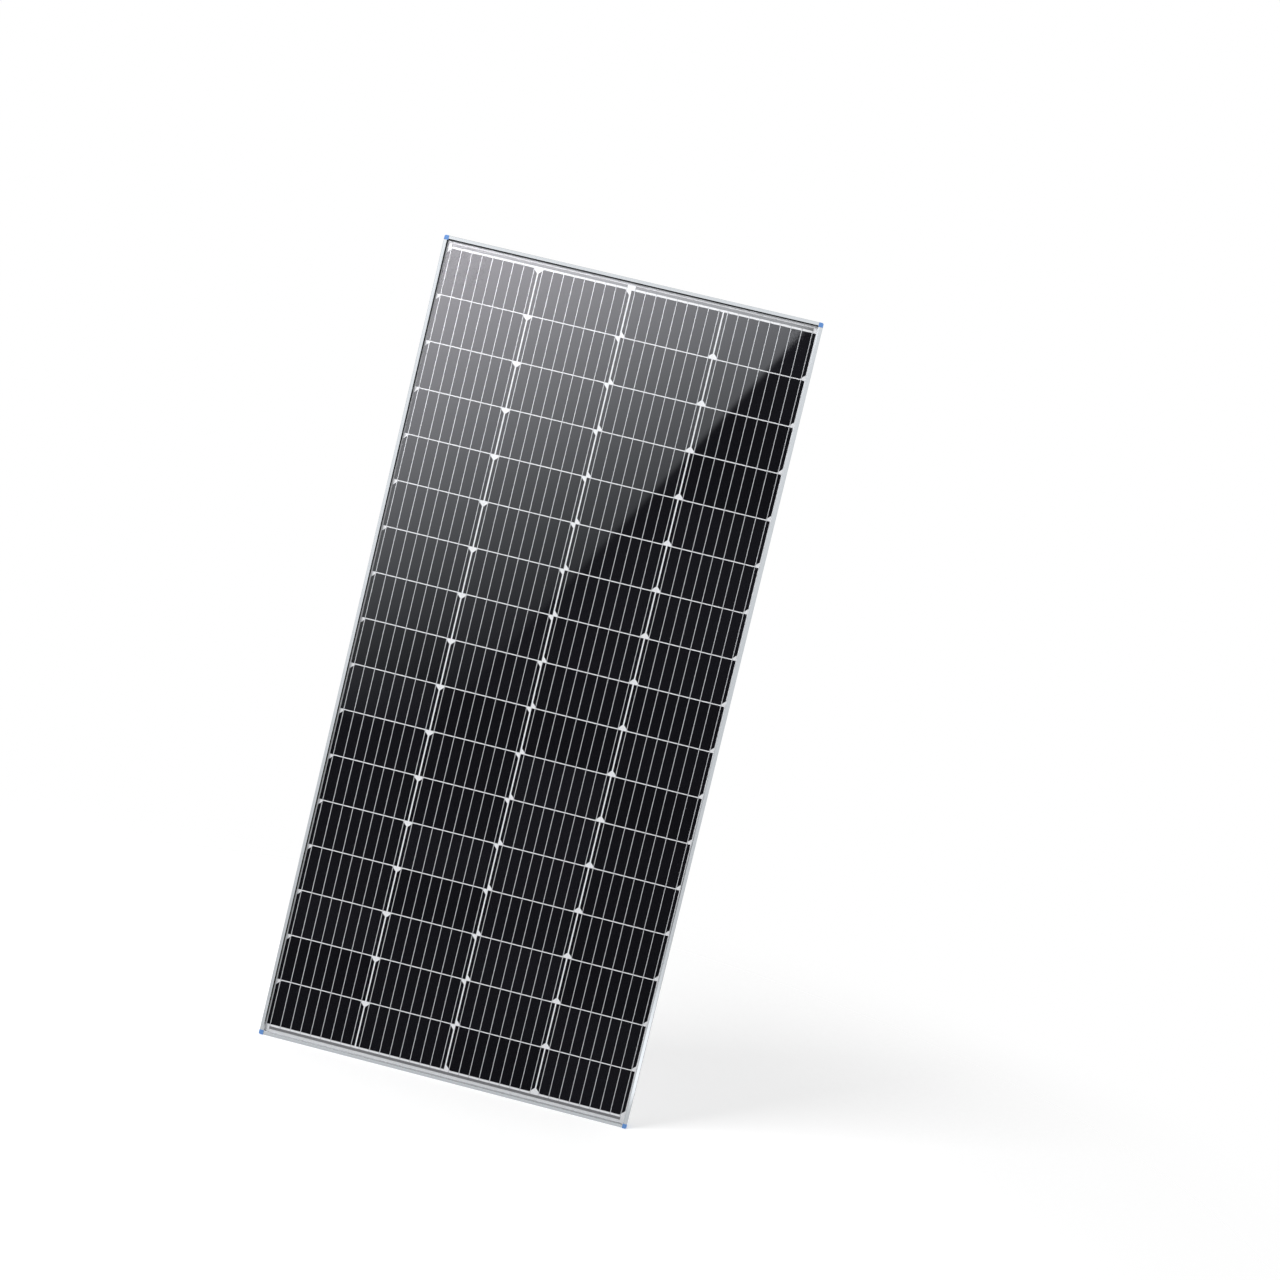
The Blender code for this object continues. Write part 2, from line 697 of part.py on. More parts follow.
def make_box_inside(parent, rubber, copper, dark):
    """Adhesive pad, lid gasket, three terminals and the two bypass diodes across them."""
    pad = rounded_outline(FOOT_WIDTH - 2 * PAD_INSET, FOOT_HEIGHT - 2 * PAD_INSET, WALL_CORNER)
    add_object("box_pad", loft_mesh("box_pad", slab_loops(pad, FIT_GAP, PAD_THICK)), rubber, parent)

    outer = -(BOX_WALL - GASKET_WIDTH) / 2
    inner = outer - GASKET_WIDTH
    top = GASKET_Y + GASKET_THICK
    loops = [
        wall_loop(outer, GASKET_Y),
        wall_loop(outer, top),
        wall_loop(inner, top),
        wall_loop(inner, GASKET_Y),
    ]
    add_object("box_gasket", loft_mesh("box_gasket", loops, ring=True), rubber, parent)

    for i in range(3):
        outline = block_outline((i - 1) * GLAND_SPREAD, 0, TERMINAL_WIDTH, TERMINAL_HEIGHT)
        mesh = loft_mesh("terminal", slab_loops(outline, TERMINAL_Y, TERMINAL_THICK))
        add_object(f"terminal_{i + 1}", mesh, copper, parent)
    diode_y = TERMINAL_Y + TERMINAL_THICK + FIT_GAP + DIODE_RADIUS
    half, span = DIODE_LENGTH / 2, GLAND_SPREAD / 2
    for i, side in enumerate((-1, 1)):
        profile = (
            (DIODE_WIRE, -span),
            (DIODE_WIRE, -half),
            (DIODE_RADIUS, -half),
            (DIODE_RADIUS, half),
            (DIODE_WIRE, half),
            (DIODE_WIRE, span),
        )
        loops = [polar_loop(radius, z, 12) for radius, z in profile]
        mesh = loft_mesh("bypass_diode", loops, smooth=True)
        place = (side * GLAND_SPREAD / 2, diode_y, TERMINAL_HEIGHT / 4)
        add_object(f"bypass_diode_{i + 1}", mesh, dark, parent, place, QUARTER)


def make_glands(parent, plastic, rubber):
    """A lobed nut and a seal ring on each gland stub."""
    nut = (
        (BORE_RADIUS, GLAND_NUT_BOTTOM, 0),
        (GLAND_NUT_RADIUS - NUT_LOBE_DEPTH, GLAND_NUT_BOTTOM, 1),
        (GLAND_NUT_RADIUS, GLAND_NUT_BOTTOM + NUT_LOBE_DEPTH, 1),
        (GLAND_NUT_RADIUS, GLAND_NUT_TOP, 1),
        (GLAND_RADIUS + FIT_GAP, GLAND_NUT_TOP, 0),
        (GLAND_RADIUS + FIT_GAP, GLAND_NUT_BOTTOM + GLAND_NUT_END, 0),
        (BORE_RADIUS, GLAND_NUT_BOTTOM + GLAND_NUT_END, 0),
    )
    seal_top = GLAND_END - FIT_GAP
    seal = (
        (BORE_RADIUS, seal_top - GLAND_SEAL),
        (GLAND_RADIUS, seal_top - GLAND_SEAL),
        (GLAND_RADIUS, seal_top),
        (BORE_RADIUS, seal_top),
    )
    for mark, side in (("left", 1), ("right", -1)):
        place = (side * GLAND_SPREAD, GLAND_Y, 0)
        loops = [polar_loop(r, z, NUT_SIDES, NUT_LOBES, k * NUT_LOBE_DEPTH) for r, z, k in nut]
        mesh = loft_mesh("gland_nut", loops, ring=True, smooth=True)
        add_object("gland_nut_" + mark, mesh, plastic, parent, place)
        loops = [polar_loop(r, z) for r, z in seal]
        mesh = loft_mesh("gland_seal", loops, ring=True, smooth=True)
        add_object("gland_seal_" + mark, mesh, rubber, parent, place)


def connector_nut(name, length):
    """A lobed cap nut from its tapered tail at z = 0, open to the front for the stub."""
    stub = STUB_RADIUS + FIT_GAP
    end = length - STUB_REACH - FIT_GAP
    profile = (
        (BORE_RADIUS, 0, 0),
        (NUT_TAIL_RADIUS, 0, 0),
        (CONNECTOR_RADIUS, NUT_TAPER, 1),
        (CONNECTOR_RADIUS, length, 1),
        (stub, length, 0),
        (stub, end, 0),
        (BORE_RADIUS, end, 0),
    )
    loops = [polar_loop(r, z, NUT_SIDES, NUT_LOBES, k * NUT_LOBE_DEPTH) for r, z, k in profile]
    return loft_mesh(name, loops, ring=True, smooth=True)


def make_plug(parent, plastic, metal, rubber):
    """The plug: body with a hollow nose and two latch arms, pin, nose seal and nut."""
    add_object("plug_nut", connector_nut("plug_nut", PLUG_NUT), plastic, parent)
    back = PLUG_NUT + FIT_GAP
    collar = back + COLLAR_LENGTH
    face = back + PLUG_BODY
    tip = face + PLUG_NOSE
    bore_end = face - PLUG_BORE_DEPTH
    body = CONNECTOR_RADIUS - COLLAR_STEP
    profile = (
        (STUB_RADIUS, back - STUB_REACH),
        (STUB_RADIUS, back),
        (CONNECTOR_RADIUS, back),
        (CONNECTOR_RADIUS, collar),
        (body, collar),
        (body, face),
        (PLUG_NOSE_RADIUS, face),
        (PLUG_NOSE_RADIUS, tip),
        (PLUG_BORE_RADIUS, tip),
        (PLUG_BORE_RADIUS, bore_end),
    )
    loops = [polar_loop(radius, z) for radius, z in profile]
    housing = add_object("plug_housing", loft_mesh("plug_housing", loops, smooth=True), plastic, parent)

    arms = bmesh.new()
    w, t = LATCH_ARM_WIDTH / 2, LATCH_ARM_THICK
    out = body - FIT_GAP
    high = face + LATCH_ARM_LENGTH
    for side in (-1, 1):
        points = [
            (out - t, face - t),
            (out, face - t),
            (out, high - LATCH_ARM_NOSE),
            (out + LATCH_ARM_BARB, high - LATCH_ARM_NOSE + t / 2),
            (out, high),
            (out - t, high),
        ]
        outline = [(side * x, z) for x, z in points]
        add_loft(arms, slab_loops(outline, -w, 2 * w))
    helper = add_object("plug_arms", as_mesh("plug_arms", arms), None, parent)
    use_boolean(housing, helper, "UNION")

    pin = (
        (PIN_RADIUS, bore_end + FIT_GAP),
        (PIN_RADIUS, tip - PIN_SHORT - PIN_RADIUS),
        (PIN_RADIUS / 2, tip - PIN_SHORT),
    )
    loops = [polar_loop(radius, z, 12) for radius, z in pin]
    add_object("plug_pin", loft_mesh("plug_pin", loops, smooth=True), metal, parent)
    inner = PLUG_NOSE_RADIUS + FIT_GAP
    low = face + FIT_GAP
    ring = (
        (inner, low),
        (inner + RING_SECTION, low),
        (inner + RING_SECTION, low + RING_SECTION),
        (inner, low + RING_SECTION),
    )
    loops = [polar_loop(radius, z) for radius, z in ring]
    add_object("plug_seal", loft_mesh("plug_seal", loops, ring=True, smooth=True), rubber, parent)


def make_socket(parent, plastic, metal):
    """The socket: fluted barrel with an open mouth, contact tube and nut."""
    add_object("socket_nut", connector_nut("socket_nut", SOCKET_NUT), plastic, parent)
    back = SOCKET_NUT + FIT_GAP
    collar = back + COLLAR_LENGTH
    tip = back + SOCKET_BODY
    mouth = tip - SOCKET_MOUTH
    body = CONNECTOR_RADIUS - COLLAR_STEP
    profile = (
        (STUB_RADIUS, back - STUB_REACH, 0),
        (STUB_RADIUS, back, 0),
        (CONNECTOR_RADIUS, back, 0),
        (CONNECTOR_RADIUS, collar, 0),
        (body, collar, 1),
        (body, tip - COLLAR_LENGTH, 1),
        (body, tip - COLLAR_LENGTH, 0),
        (body, tip, 0),
        (MOUTH_RADIUS, tip, 0),
        (MOUTH_RADIUS, mouth, 0),
    )
    loops = [
        polar_loop(radius, z, FLUTE_SIDES, SOCKET_FLUTES, k * FLUTE_DEPTH) for radius, z, k in profile
    ]
    add_object("socket_housing", loft_mesh("socket_housing", loops, smooth=True), plastic, parent)
    outer, inner = SOCKET_TUBE_RADIUS, PIN_RADIUS + FIT_GAP
    low, high = mouth + FIT_GAP, tip - SOCKET_SHORT
    loops = [polar_loop(r, z, 16) for r, z in ((inner, low), (outer, low), (outer, high), (inner, high))]
    add_object("socket_contact", loft_mesh("socket_contact", loops, True, True), metal, parent)


def smooth_route(points):
    """Points about LEAD_STEP apart on a Catmull-Rom curve through the route's points."""
    knots = [2 * points[0] - points[1], *points, 2 * points[-1] - points[-2]]
    path = [points[0]]
    for a, b, c, d in zip(knots, knots[1:], knots[2:], knots[3:]):
        steps = max(1, round((c - b).length / LEAD_STEP))
        for i in range(1, steps + 1):
            t = i / steps
            bend = (2 * a - 5 * b + 4 * c - d) * t + (3 * b - a - 3 * c + d) * t * t
            path.append(b + ((c - a) + bend) * t / 2)
    return path


def lead_route(side, layer):
    """One lead from its terminal, out of the gland, round the loop and into its connector.

    Depths are from the backsheet. The two leads share the loop, one on top of the other.
    """
    plug_y = CONNECTOR_RADIUS + FIT_GAP
    loop_y = LEAD_LOW + layer
    x = side * GLAND_SPREAD
    start = -TERMINAL_HEIGHT / 2 + LEAD_SEAT
    route = [Vector((x, GLAND_Y, z)) for z in (start, GLAND_END, GLAND_NUT_BOTTOM - LEAD_RADIUS)]
    for i, (px, pz) in enumerate(GLAND_RUN):
        share = (i + 1) / (len(GLAND_RUN) + 1)
        route.append(Vector((side * px, GLAND_Y + (loop_y - GLAND_Y) * share, pz)))
    route += [Vector((side * px, loop_y, pz)) for px, pz in LOOP_RUN]
    route += [Vector((-side * px, loop_y, pz)) for px, pz in reversed(LOOP_RUN[1:])]
    for i, (px, pz) in enumerate(PLUG_RUN):
        share = (i + 1) / (len(PLUG_RUN) + 1)
        route.append(Vector((-side * px, loop_y + (plug_y - loop_y) * share, pz)))
    end = Vector((-side * CONNECTOR_END[0], plug_y, CONNECTOR_END[1]))
    axis = connector_axis(-side)
    nut = PLUG_NUT if side < 0 else SOCKET_NUT
    inside = nut - STUB_REACH - FIT_GAP
    route += [end - 2 * LEAD_RADIUS * axis, end + inside / 2 * axis, end + inside * axis]
    return route


def connector_axis(side):
    """Direction of a connector from its cable end to its tip, leaning towards the box."""
    return Vector((-side * math.sin(CONNECTOR_TILT), 0, math.cos(CONNECTOR_TILT)))


def make_lead(name, side, layer, parent, jacket):
    """A round lead along its route."""
    curve = bpy.data.curves.new(name, "CURVE")
    curve.dimensions = "3D"
    curve.bevel_depth = LEAD_RADIUS
    curve.bevel_resolution = 2
    curve.use_fill_caps = True
    path = smooth_route(lead_route(side, layer))
    spline = curve.splines.new("POLY")
    spline.points.add(len(path) - 1)
    for point, place in zip(spline.points, path):
        point.co = (*place, 1)
    add_object(name, curve, jacket, parent)


def main():
    clear_scene()
    aluminium = finish("anodised aluminium", (0.56, 0.59, 0.61), 0.38, 1.0)
    blue = finish("blue plastic", (0.12, 0.30, 0.68), 0.45)
    glass = finish("tempered glass", (0.95, 0.97, 0.97), 0.04, 0.0, 1.0)
    sheet = finish("clear encapsulant", (0.95, 0.95, 0.95), 0.2, 0.0, 1.0)
    cell = finish("silicon cells", (0.010, 0.010, 0.016), 0.35)
    tin = finish("tinned ribbon", (0.70, 0.71, 0.72), 0.35, 1.0)
    white = finish("white backsheet", (0.85, 0.85, 0.87), 0.55)
    plastic = finish("black plastic", (0.022, 0.022, 0.025), 0.45)
    rubber = finish("black rubber", (0.015, 0.015, 0.015), 0.7)
    silicone = finish("white silicone", (0.75, 0.76, 0.77), 0.6)
    copper = finish("tinned copper", (0.62, 0.55, 0.48), 0.35, 1.0)
    jacket = finish("lead jacket", (0.012, 0.012, 0.013), 0.5)

    make_frame(aluminium)
    make_corners(aluminium, blue)
    make_laminate(glass, sheet, cell, tin, white, silicone)

    box = add_empty("junction_box", BOX_CENTRE)
    make_box_base(box, plastic)
    make_box_lid(box, plastic)
    make_box_inside(box, silicone, copper, rubber)
    make_glands(box, plastic, rubber)
    make_lead("lead_left", 1, 0, box, jacket)
    make_lead("lead_right", -1, LEAD_LAYER, box, jacket)

    plug_y = CONNECTOR_RADIUS + FIT_GAP
    for side, make, parts in (
        (1, make_plug, (plastic, tin, rubber)),
        (-1, make_socket, (plastic, tin)),
    ):
        place = BOX_CENTRE + Vector((side * CONNECTOR_END[0], plug_y, CONNECTOR_END[1]))
        name = "plug" if side > 0 else "socket"
        make(add_empty(name, place, -side * CONNECTOR_TILT), *parts)


if __name__ == "__main__":
    main()
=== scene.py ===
"""Looks for a framed solar panel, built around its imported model.

Metres, +Z up, glass facing -Y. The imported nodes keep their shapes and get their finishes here.
The leads, nuts, connector bodies and the wiring inside the junction box are made finer.
"""

import json
import math

import bmesh
import bpy
import numpy as np
from bpy.props import FloatProperty, FloatVectorProperty, IntProperty, PointerProperty
from mathutils import Matrix, Vector

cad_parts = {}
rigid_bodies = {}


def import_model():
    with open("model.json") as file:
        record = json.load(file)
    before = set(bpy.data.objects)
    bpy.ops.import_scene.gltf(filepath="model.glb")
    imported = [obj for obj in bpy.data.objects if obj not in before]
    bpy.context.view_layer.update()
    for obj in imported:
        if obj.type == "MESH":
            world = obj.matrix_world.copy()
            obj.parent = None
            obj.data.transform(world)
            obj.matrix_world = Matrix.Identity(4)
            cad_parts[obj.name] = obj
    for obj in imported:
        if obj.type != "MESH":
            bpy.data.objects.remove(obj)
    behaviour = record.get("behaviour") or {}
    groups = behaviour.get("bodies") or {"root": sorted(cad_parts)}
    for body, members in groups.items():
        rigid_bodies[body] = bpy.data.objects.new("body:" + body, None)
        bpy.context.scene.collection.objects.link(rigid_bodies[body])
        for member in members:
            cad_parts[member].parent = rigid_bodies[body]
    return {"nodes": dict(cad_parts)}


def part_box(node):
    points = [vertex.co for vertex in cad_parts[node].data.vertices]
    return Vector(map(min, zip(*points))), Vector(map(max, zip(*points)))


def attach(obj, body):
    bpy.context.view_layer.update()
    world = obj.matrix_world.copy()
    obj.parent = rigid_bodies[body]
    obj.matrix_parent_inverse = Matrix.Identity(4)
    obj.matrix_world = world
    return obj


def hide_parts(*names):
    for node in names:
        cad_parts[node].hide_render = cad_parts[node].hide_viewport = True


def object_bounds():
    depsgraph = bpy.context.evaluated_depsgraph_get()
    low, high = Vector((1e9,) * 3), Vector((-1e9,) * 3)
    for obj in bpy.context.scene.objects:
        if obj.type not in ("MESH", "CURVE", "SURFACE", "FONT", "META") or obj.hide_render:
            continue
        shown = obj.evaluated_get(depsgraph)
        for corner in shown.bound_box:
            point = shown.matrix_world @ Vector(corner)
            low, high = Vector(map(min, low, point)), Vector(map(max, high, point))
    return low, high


bl_info = {
    "name": "Framed Solar Panel",
    "version": (1, 0, 0),
    "blender": (4, 5, 0),
    "location": "View3D > Sidebar > Solar Panel",
    "description": "Finishes, leads, box wiring and a small studio for a framed solar panel",
    "category": "Object",
}

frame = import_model()
CAD_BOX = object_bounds()

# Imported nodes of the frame, and the marks of its corners
RAILS = ("frame_left", "frame_right", "frame_top", "frame_bottom")
CORNERS = ("tl", "tr", "bl", "br")

# The junction box: its centre on the backsheet, and depths out from the backsheet
LID_LOW, LID_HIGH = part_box("box_lid")
BACK_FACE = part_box("backsheet")[1].y
BOX_CENTRE = np.array(((LID_LOW.x + LID_HIGH.x) / 2, BACK_FACE, (LID_LOW.z + LID_HIGH.z) / 2))
PLATE_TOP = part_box("terminal_2")[1].y - BACK_FACE
PLATE_STACK = 0.0011
FLOOR_TOP = PLATE_TOP - PLATE_STACK

# Glands: place from the box centre, the nut's ribs, thread and end, and the bore for a lead
GLAND_X = 0.022
GLAND_DEPTH = 0.0076
GLAND_RIBS = 16
GLAND_RIB_DEPTH = 0.0006
GLAND_THREAD = 0.0043
GLAND_END = 0.0016
LEAD_BORE = 0.0029

# Wiring in the box: diodes with their legs, bus tabs, ferrules, and mounds as half x, half z, height
DIODE_HALF = 0.00625
DIODE_RADIUS = 0.0027
DIODE_Z = 0.0065
WIRE_RADIUS = 0.0006
LEG_START = 0.0066
LEG_END = 0.0104
LEG_FACES = 0.0063
BEND_START = 0.0074
BEND_LENGTH = 0.0024
LEG_DAB_X = 0.0098
LEG_DAB = (0.0012, 0.0012, 0.0013)
TAB_Z = 0.0205
TAB_RUN = 0.0135
TAB_ARCH = 0.0042
TAB_LANDING = 0.8
TAB_DAB_Z = 0.0088
TAB_DAB = (0.0033, 0.0018, 0.0008)
POTTING_Z = 0.0215
POTTING = (0.030, 0.0042, 0.0016)
FERRULE_RADIUS = 0.0021
FERRULE_SPREAD = 0.0009
FERRULE_PRESS = 0.0014
FERRULE_Z = -0.0094
FERRULE_LENGTH = 0.0125

# Cells: columns and rows, pitch across and down, depth of their faces, share of a finger in its
# pitch, and the height past which a ribbon is the bus
CELL_COUNT = (4, 17)
CELL_PITCH = (0.1685, 0.08477)
CELL_FRONT = -0.0231
FINGER_SHARE = 0.1
BUS_EDGE = 0.7232

# Leads: depths of the lower lead, of the step to the upper one and of the connectors, then the
# route as (x, z) from the box centre, for the lead that starts at +X, and its end in the connector
LEAD_LOW = 0.0029
LEAD_LAYER = 0.0056
CONNECTOR_DEPTH = 0.0080
LEAD_START = ((0.0220, -0.0095), (0.0220, -0.0393), (0.0220, -0.0453))
GLAND_RUN = ((0.0240, -0.066), (0.0290, -0.089), (0.0395, -0.114), (0.0560, -0.138))
LOOP_RUN = (
    (0.0750, -0.160), (0.0875, -0.183), (0.0945, -0.210), (0.0950, -0.238),
    (0.0865, -0.267), (0.0690, -0.289), (0.0430, -0.307), (0.0145, -0.316),
)
PLUG_RUN = ((0.0765, -0.150), (0.0695, -0.131))
CONNECTOR_END = (0.0602, -0.1035)
CONNECTOR_TILT = math.radians(20)
PLUG_NUT = 0.0185
SOCKET_NUT = 0.0245
STUB_REACH = 0.0108
LEAD_RUN_IN = 0.0052

# Connectors: radii, and lengths along their axis
CONNECTOR_RADIUS = 0.0077
NUT_RIB_DEPTH = 0.0007
NUT_THREAD = 0.0053
NUT_CLEAR = 0.0003
STUB_RADIUS = 0.005
STUB_LENGTH = 0.0105
PLUG_BODY = 0.0175
PLUG_LENGTH = 0.0400
PLUG_BORE_DEPTH = 0.0058
NOSE_RADIUS = 0.0036
NOSE_BORE = 0.0025
LATCH_INNER = 0.0054
LATCH_HALF = 0.0017
SOCKET_LENGTH = 0.0395
SOCKET_BORE = 0.0042
SOCKET_MOUTH = 0.024

# Camera from the lines of the cell grid: place, axes and focal length in pixels of 1280
CAMERA_PLACE = (0.32803, -3.21426, 0.29654)
CAMERA_RIGHT = (0.969906, 0.063488, 0.235055)
CAMERA_UP = (-0.237850, 0.040689, 0.970449)
CAMERA_AHEAD = (-0.052047, 0.997153, -0.054565)
FOCAL_PIXELS = 1795.0
FRAME_PIXELS = 1280.0
SENSOR_MM = 36.0

# Stage: the paper and what lies on it, the edge of the floor's cards by the panel, the step
# between cards, and the flags' reach
PAPER_Z = CAD_BOX[0].z - 0.0005
PAPER_REACH = 3.0
FLOOR_Z = CAD_BOX[0].z - 0.0003
CARD_FRONT = -0.031
CARD_STEP = 0.0002
FLAG_REACH = 3.4
FLAG_X = 2.0
FLAG_TOP = 4.5

# Lamps: place, width and power
KEY_LAMP = ((-2.4, -2.6, 2.6), 1.6, 115.0)
BACK_LAMP = ((1.6, 2.6, 2.4), 0.8, 100.0)

# The glow in the glass: its card, its root at a point of the panel with the fall to the right and
# down from there, and its slanting edge
GLOW_Y = -4.5
GLOW_X = (-1.6, 2.0)
GLOW_TOP = 2.4
GLASS_REFLECTANCE = 0.0375
GLOW_ROOT = 0.60
GLOW_PLACE = (-0.32, 0.678)
GLOW_FALL = (0.446, 0.652)
EDGE_SLANT = 0.57
EDGE_Z = 0.17
EDGE_SOFT = 0.008


def linear(code):
    """Linear RGBA of an sRGB hex code: c / 12.92 in the toe, ((c + 0.055) / 1.055) ^ 2.4 above."""
    c = np.array([int(code[i:i + 2], 16) for i in (0, 2, 4)]) / 255
    c = np.where(c <= 0.04045, c / 12.92, ((c + 0.055) / 1.055) ** 2.4)
    return (*c.tolist(), 1.0)


def colour_property(name, description, code):
    """A colour that a user may change, from an sRGB hex code."""
    return FloatVectorProperty(
        name=name, description=description, subtype="COLOR", size=4, min=0, max=1,
        default=linear(code),
    )


class SolarSizes(bpy.types.PropertyGroup):
    """Sizes that a user would change."""

    lead_diameter: FloatProperty(
        name="Lead Diameter", description="Outside of the lead's jacket",
        default=0.0052, min=0.003, max=0.008, unit="LENGTH",
    )
    lead_length: FloatProperty(
        name="Lead Length", description="From the terminal to the connector's crimp",
        default=0.66, min=0.3, max=2.0, unit="LENGTH",
    )
    tab_width: FloatProperty(
        name="Tab Width", description="Width of the bus ribbons that come up into the box",
        default=0.005, min=0.002, max=0.01, unit="LENGTH",
    )
    tab_thickness: FloatProperty(
        name="Tab Thickness", description="Thickness of those ribbons",
        default=0.0003, min=0.0001, max=0.001, unit="LENGTH",
    )
    finger_pitch: FloatProperty(
        name="Finger Pitch", description="Distance between the printed silver lines of a cell",
        default=0.0015, min=0.001, max=0.003, unit="LENGTH",
    )
    nut_ribs: IntProperty(
        name="Nut Ribs", description="Grip ribs round each connector nut", default=16, min=6, max=40,
    )


class SolarColours(bpy.types.PropertyGroup):
    """Colours that a user would change."""

    rail: colour_property("Rail", "Anodised aluminium of the frame", "c8ccd0")
    cap: colour_property("Corner Cap", "Moulded corner caps", "6a9ce0")
    cell: colour_property("Cell", "Silicon cell under glass", "18181c")
    ribbon: colour_property("Ribbon", "Tinned ribbon on the cells", "dfe1e5")
    sheet: colour_property("Backsheet", "White polymer sheet behind the cells", "e6e7ea")
    box: colour_property("Junction Box", "Moulded box and gland nuts", "1b1b1d")
    connector: colour_property("Connector", "Moulded connector bodies", "0d0d0f")
    jacket: colour_property("Jacket", "Jacket of the leads", "101011")


def add_node(tree, kind, inputs=None, **settings):
    """Add a node with its settings, and set or link its inputs."""
    made = tree.nodes.new(kind)
    for key, value in settings.items():
        setattr(made, key, value)
    for key, value in (inputs or {}).items():
        if isinstance(value, bpy.types.NodeSocket):
            tree.links.new(value, made.inputs[key])
        else:
            made.inputs[key].default_value = value
    return made


def calculate(tree, operation, *values):
    """Output of a Math node on numbers or sockets."""
    return add_node(tree, "ShaderNodeMath", dict(enumerate(values)), operation=operation).outputs[0]


def mix_colours(tree, share, first, second):
    """Output of a colour mix: first + share (second - first)."""
    return add_node(
        tree, "ShaderNodeMix", {0: share, 6: first, 7: second}, data_type="RGBA"
    ).outputs[2]


def map_range(tree, value, source=(0.0, 1.0), target=(0.0, 1.0), kind="LINEAR"):
    """Output of a Map Range node, which stays within the target."""
    ends = zip(("From Min", "From Max", "To Min", "To Max"), (*source, *target))
    return add_node(
        tree, "ShaderNodeMapRange", {"Value": value, **dict(ends)}, interpolation_type=kind
    ).outputs["Result"]


def new_finish(name):
    """An empty material with its Object coordinates."""
    material = bpy.data.materials.new(name)
    material.use_nodes = True
    tree = material.node_tree
    tree.nodes.clear()
    place = add_node(tree, "ShaderNodeTexCoord").outputs["Object"]
    return material, tree, place


def grained_finish(name, dark, light, rough, grain_mm, relief_mm=0.0, metallic=0.0, specular=0.5):
    """A finish that varies with one noise n of the given grain.

    With s as n stretched from 0.3 and 0.7 to 0 and 1, colour is dark + s (light - dark) and
    roughness goes from rough[0] to rough[1]. The bump is relief_mm times n, at a strength of 0.6.
    The grain is the noise's feature size on x, y and z.
    """
    material, tree, place = new_finish(name)
    scaled = add_node(
        tree, "ShaderNodeMapping", {"Vector": place, "Scale": [1000 / g for g in grain_mm]}
    )
    noise = add_node(
        tree, "ShaderNodeTexNoise",
        {"Vector": scaled.outputs["Vector"], "Scale": 1.0, "Detail": 3.0, "Roughness": 0.55},
    ).outputs["Fac"]
    spread = map_range(tree, noise, (0.3, 0.7))
    inputs = {
        "Base Color": mix_colours(tree, spread, dark, light),
        "Roughness": map_range(tree, spread, target=rough),
        "Metallic": metallic,
        "Specular IOR Level": specular,
    }
    if relief_mm:
        relief = add_node(
            tree, "ShaderNodeBump", {"Height": noise, "Strength": 0.6, "Distance": relief_mm / 1000}
        )
        inputs["Normal"] = relief.outputs["Normal"]
    shader = add_node(tree, "ShaderNodeBsdfPrincipled", inputs)
    add_node(tree, "ShaderNodeOutputMaterial", {"Surface": shader.outputs[0]})
    return material


def shade(colour, factor):
    """A colour made darker or lighter by a factor."""
    return (*(min(1.0, c * factor) for c in colour[:3]), 1.0)


def cell_finish(colours, sizes):
    """Silicon cells bonded behind glass, on white film.

    The nitride coat is blue-black and even, each cell a little different from the next, with
    printed silver fingers across it. The fingers are 0.03 mm wide on a real cell and are drawn
    0.15 mm wide and fainter to show at all. The glass gives its gloss to the cells here. The
    white film between the cells is painted light: it is drawn 1.2 times lighter than the
    backsheet's own white. This makes up for the shade of the lips on the border and adds the
    brightness that the glass's reflection gives it.
    """
    material, tree, place = new_finish("silicon cells behind glass")
    axes = add_node(tree, "ShaderNodeSeparateXYZ", {"Vector": place}).outputs
    on_cell = calculate(tree, "LESS_THAN", axes["Y"], CELL_FRONT)
    half = [count / 2 * pitch for count, pitch in zip(CELL_COUNT, CELL_PITCH)]
    shifted = add_node(
        tree, "ShaderNodeVectorMath",
        {0: place, 1: (half[0], 0.0, half[1])}, operation="ADD",
    ).outputs[0]
    which = add_node(
        tree, "ShaderNodeVectorMath",
        {0: shifted, 1: (CELL_PITCH[0], 1.0, CELL_PITCH[1])}, operation="SNAP",
    ).outputs[0]
    chance = add_node(tree, "ShaderNodeTexWhiteNoise", {"Vector": which}).outputs["Value"]
    tone = mix_colours(tree, chance, shade(colours.cell, 0.75), shade(colours.cell, 1.25))
    across = calculate(tree, "DIVIDE", axes["Z"], sizes.finger_pitch)
    phase = calculate(tree, "FRACT", across)
    finger = calculate(tree, "LESS_THAN", phase, FINGER_SHARE)
    lined = mix_colours(tree, finger, tone, shade(colours.cell, 2.2))
    # Painted light: the film gets the backsheet's white 1.2 times lighter, a painted lift of brightness
    film = mix_colours(tree, on_cell, shade(colours.sheet, 1.2), lined)
    ripple = add_node(
        tree, "ShaderNodeTexNoise", {"Vector": place, "Scale": 9.0, "Detail": 1.0}
    ).outputs["Fac"]
    gloss = map_range(tree, ripple, target=(0.015, 0.03))
    shader = add_node(tree, "ShaderNodeBsdfPrincipled", {"Base Color": film, "Roughness": gloss})
    add_node(tree, "ShaderNodeOutputMaterial", {"Surface": shader.outputs[0]})
    return material


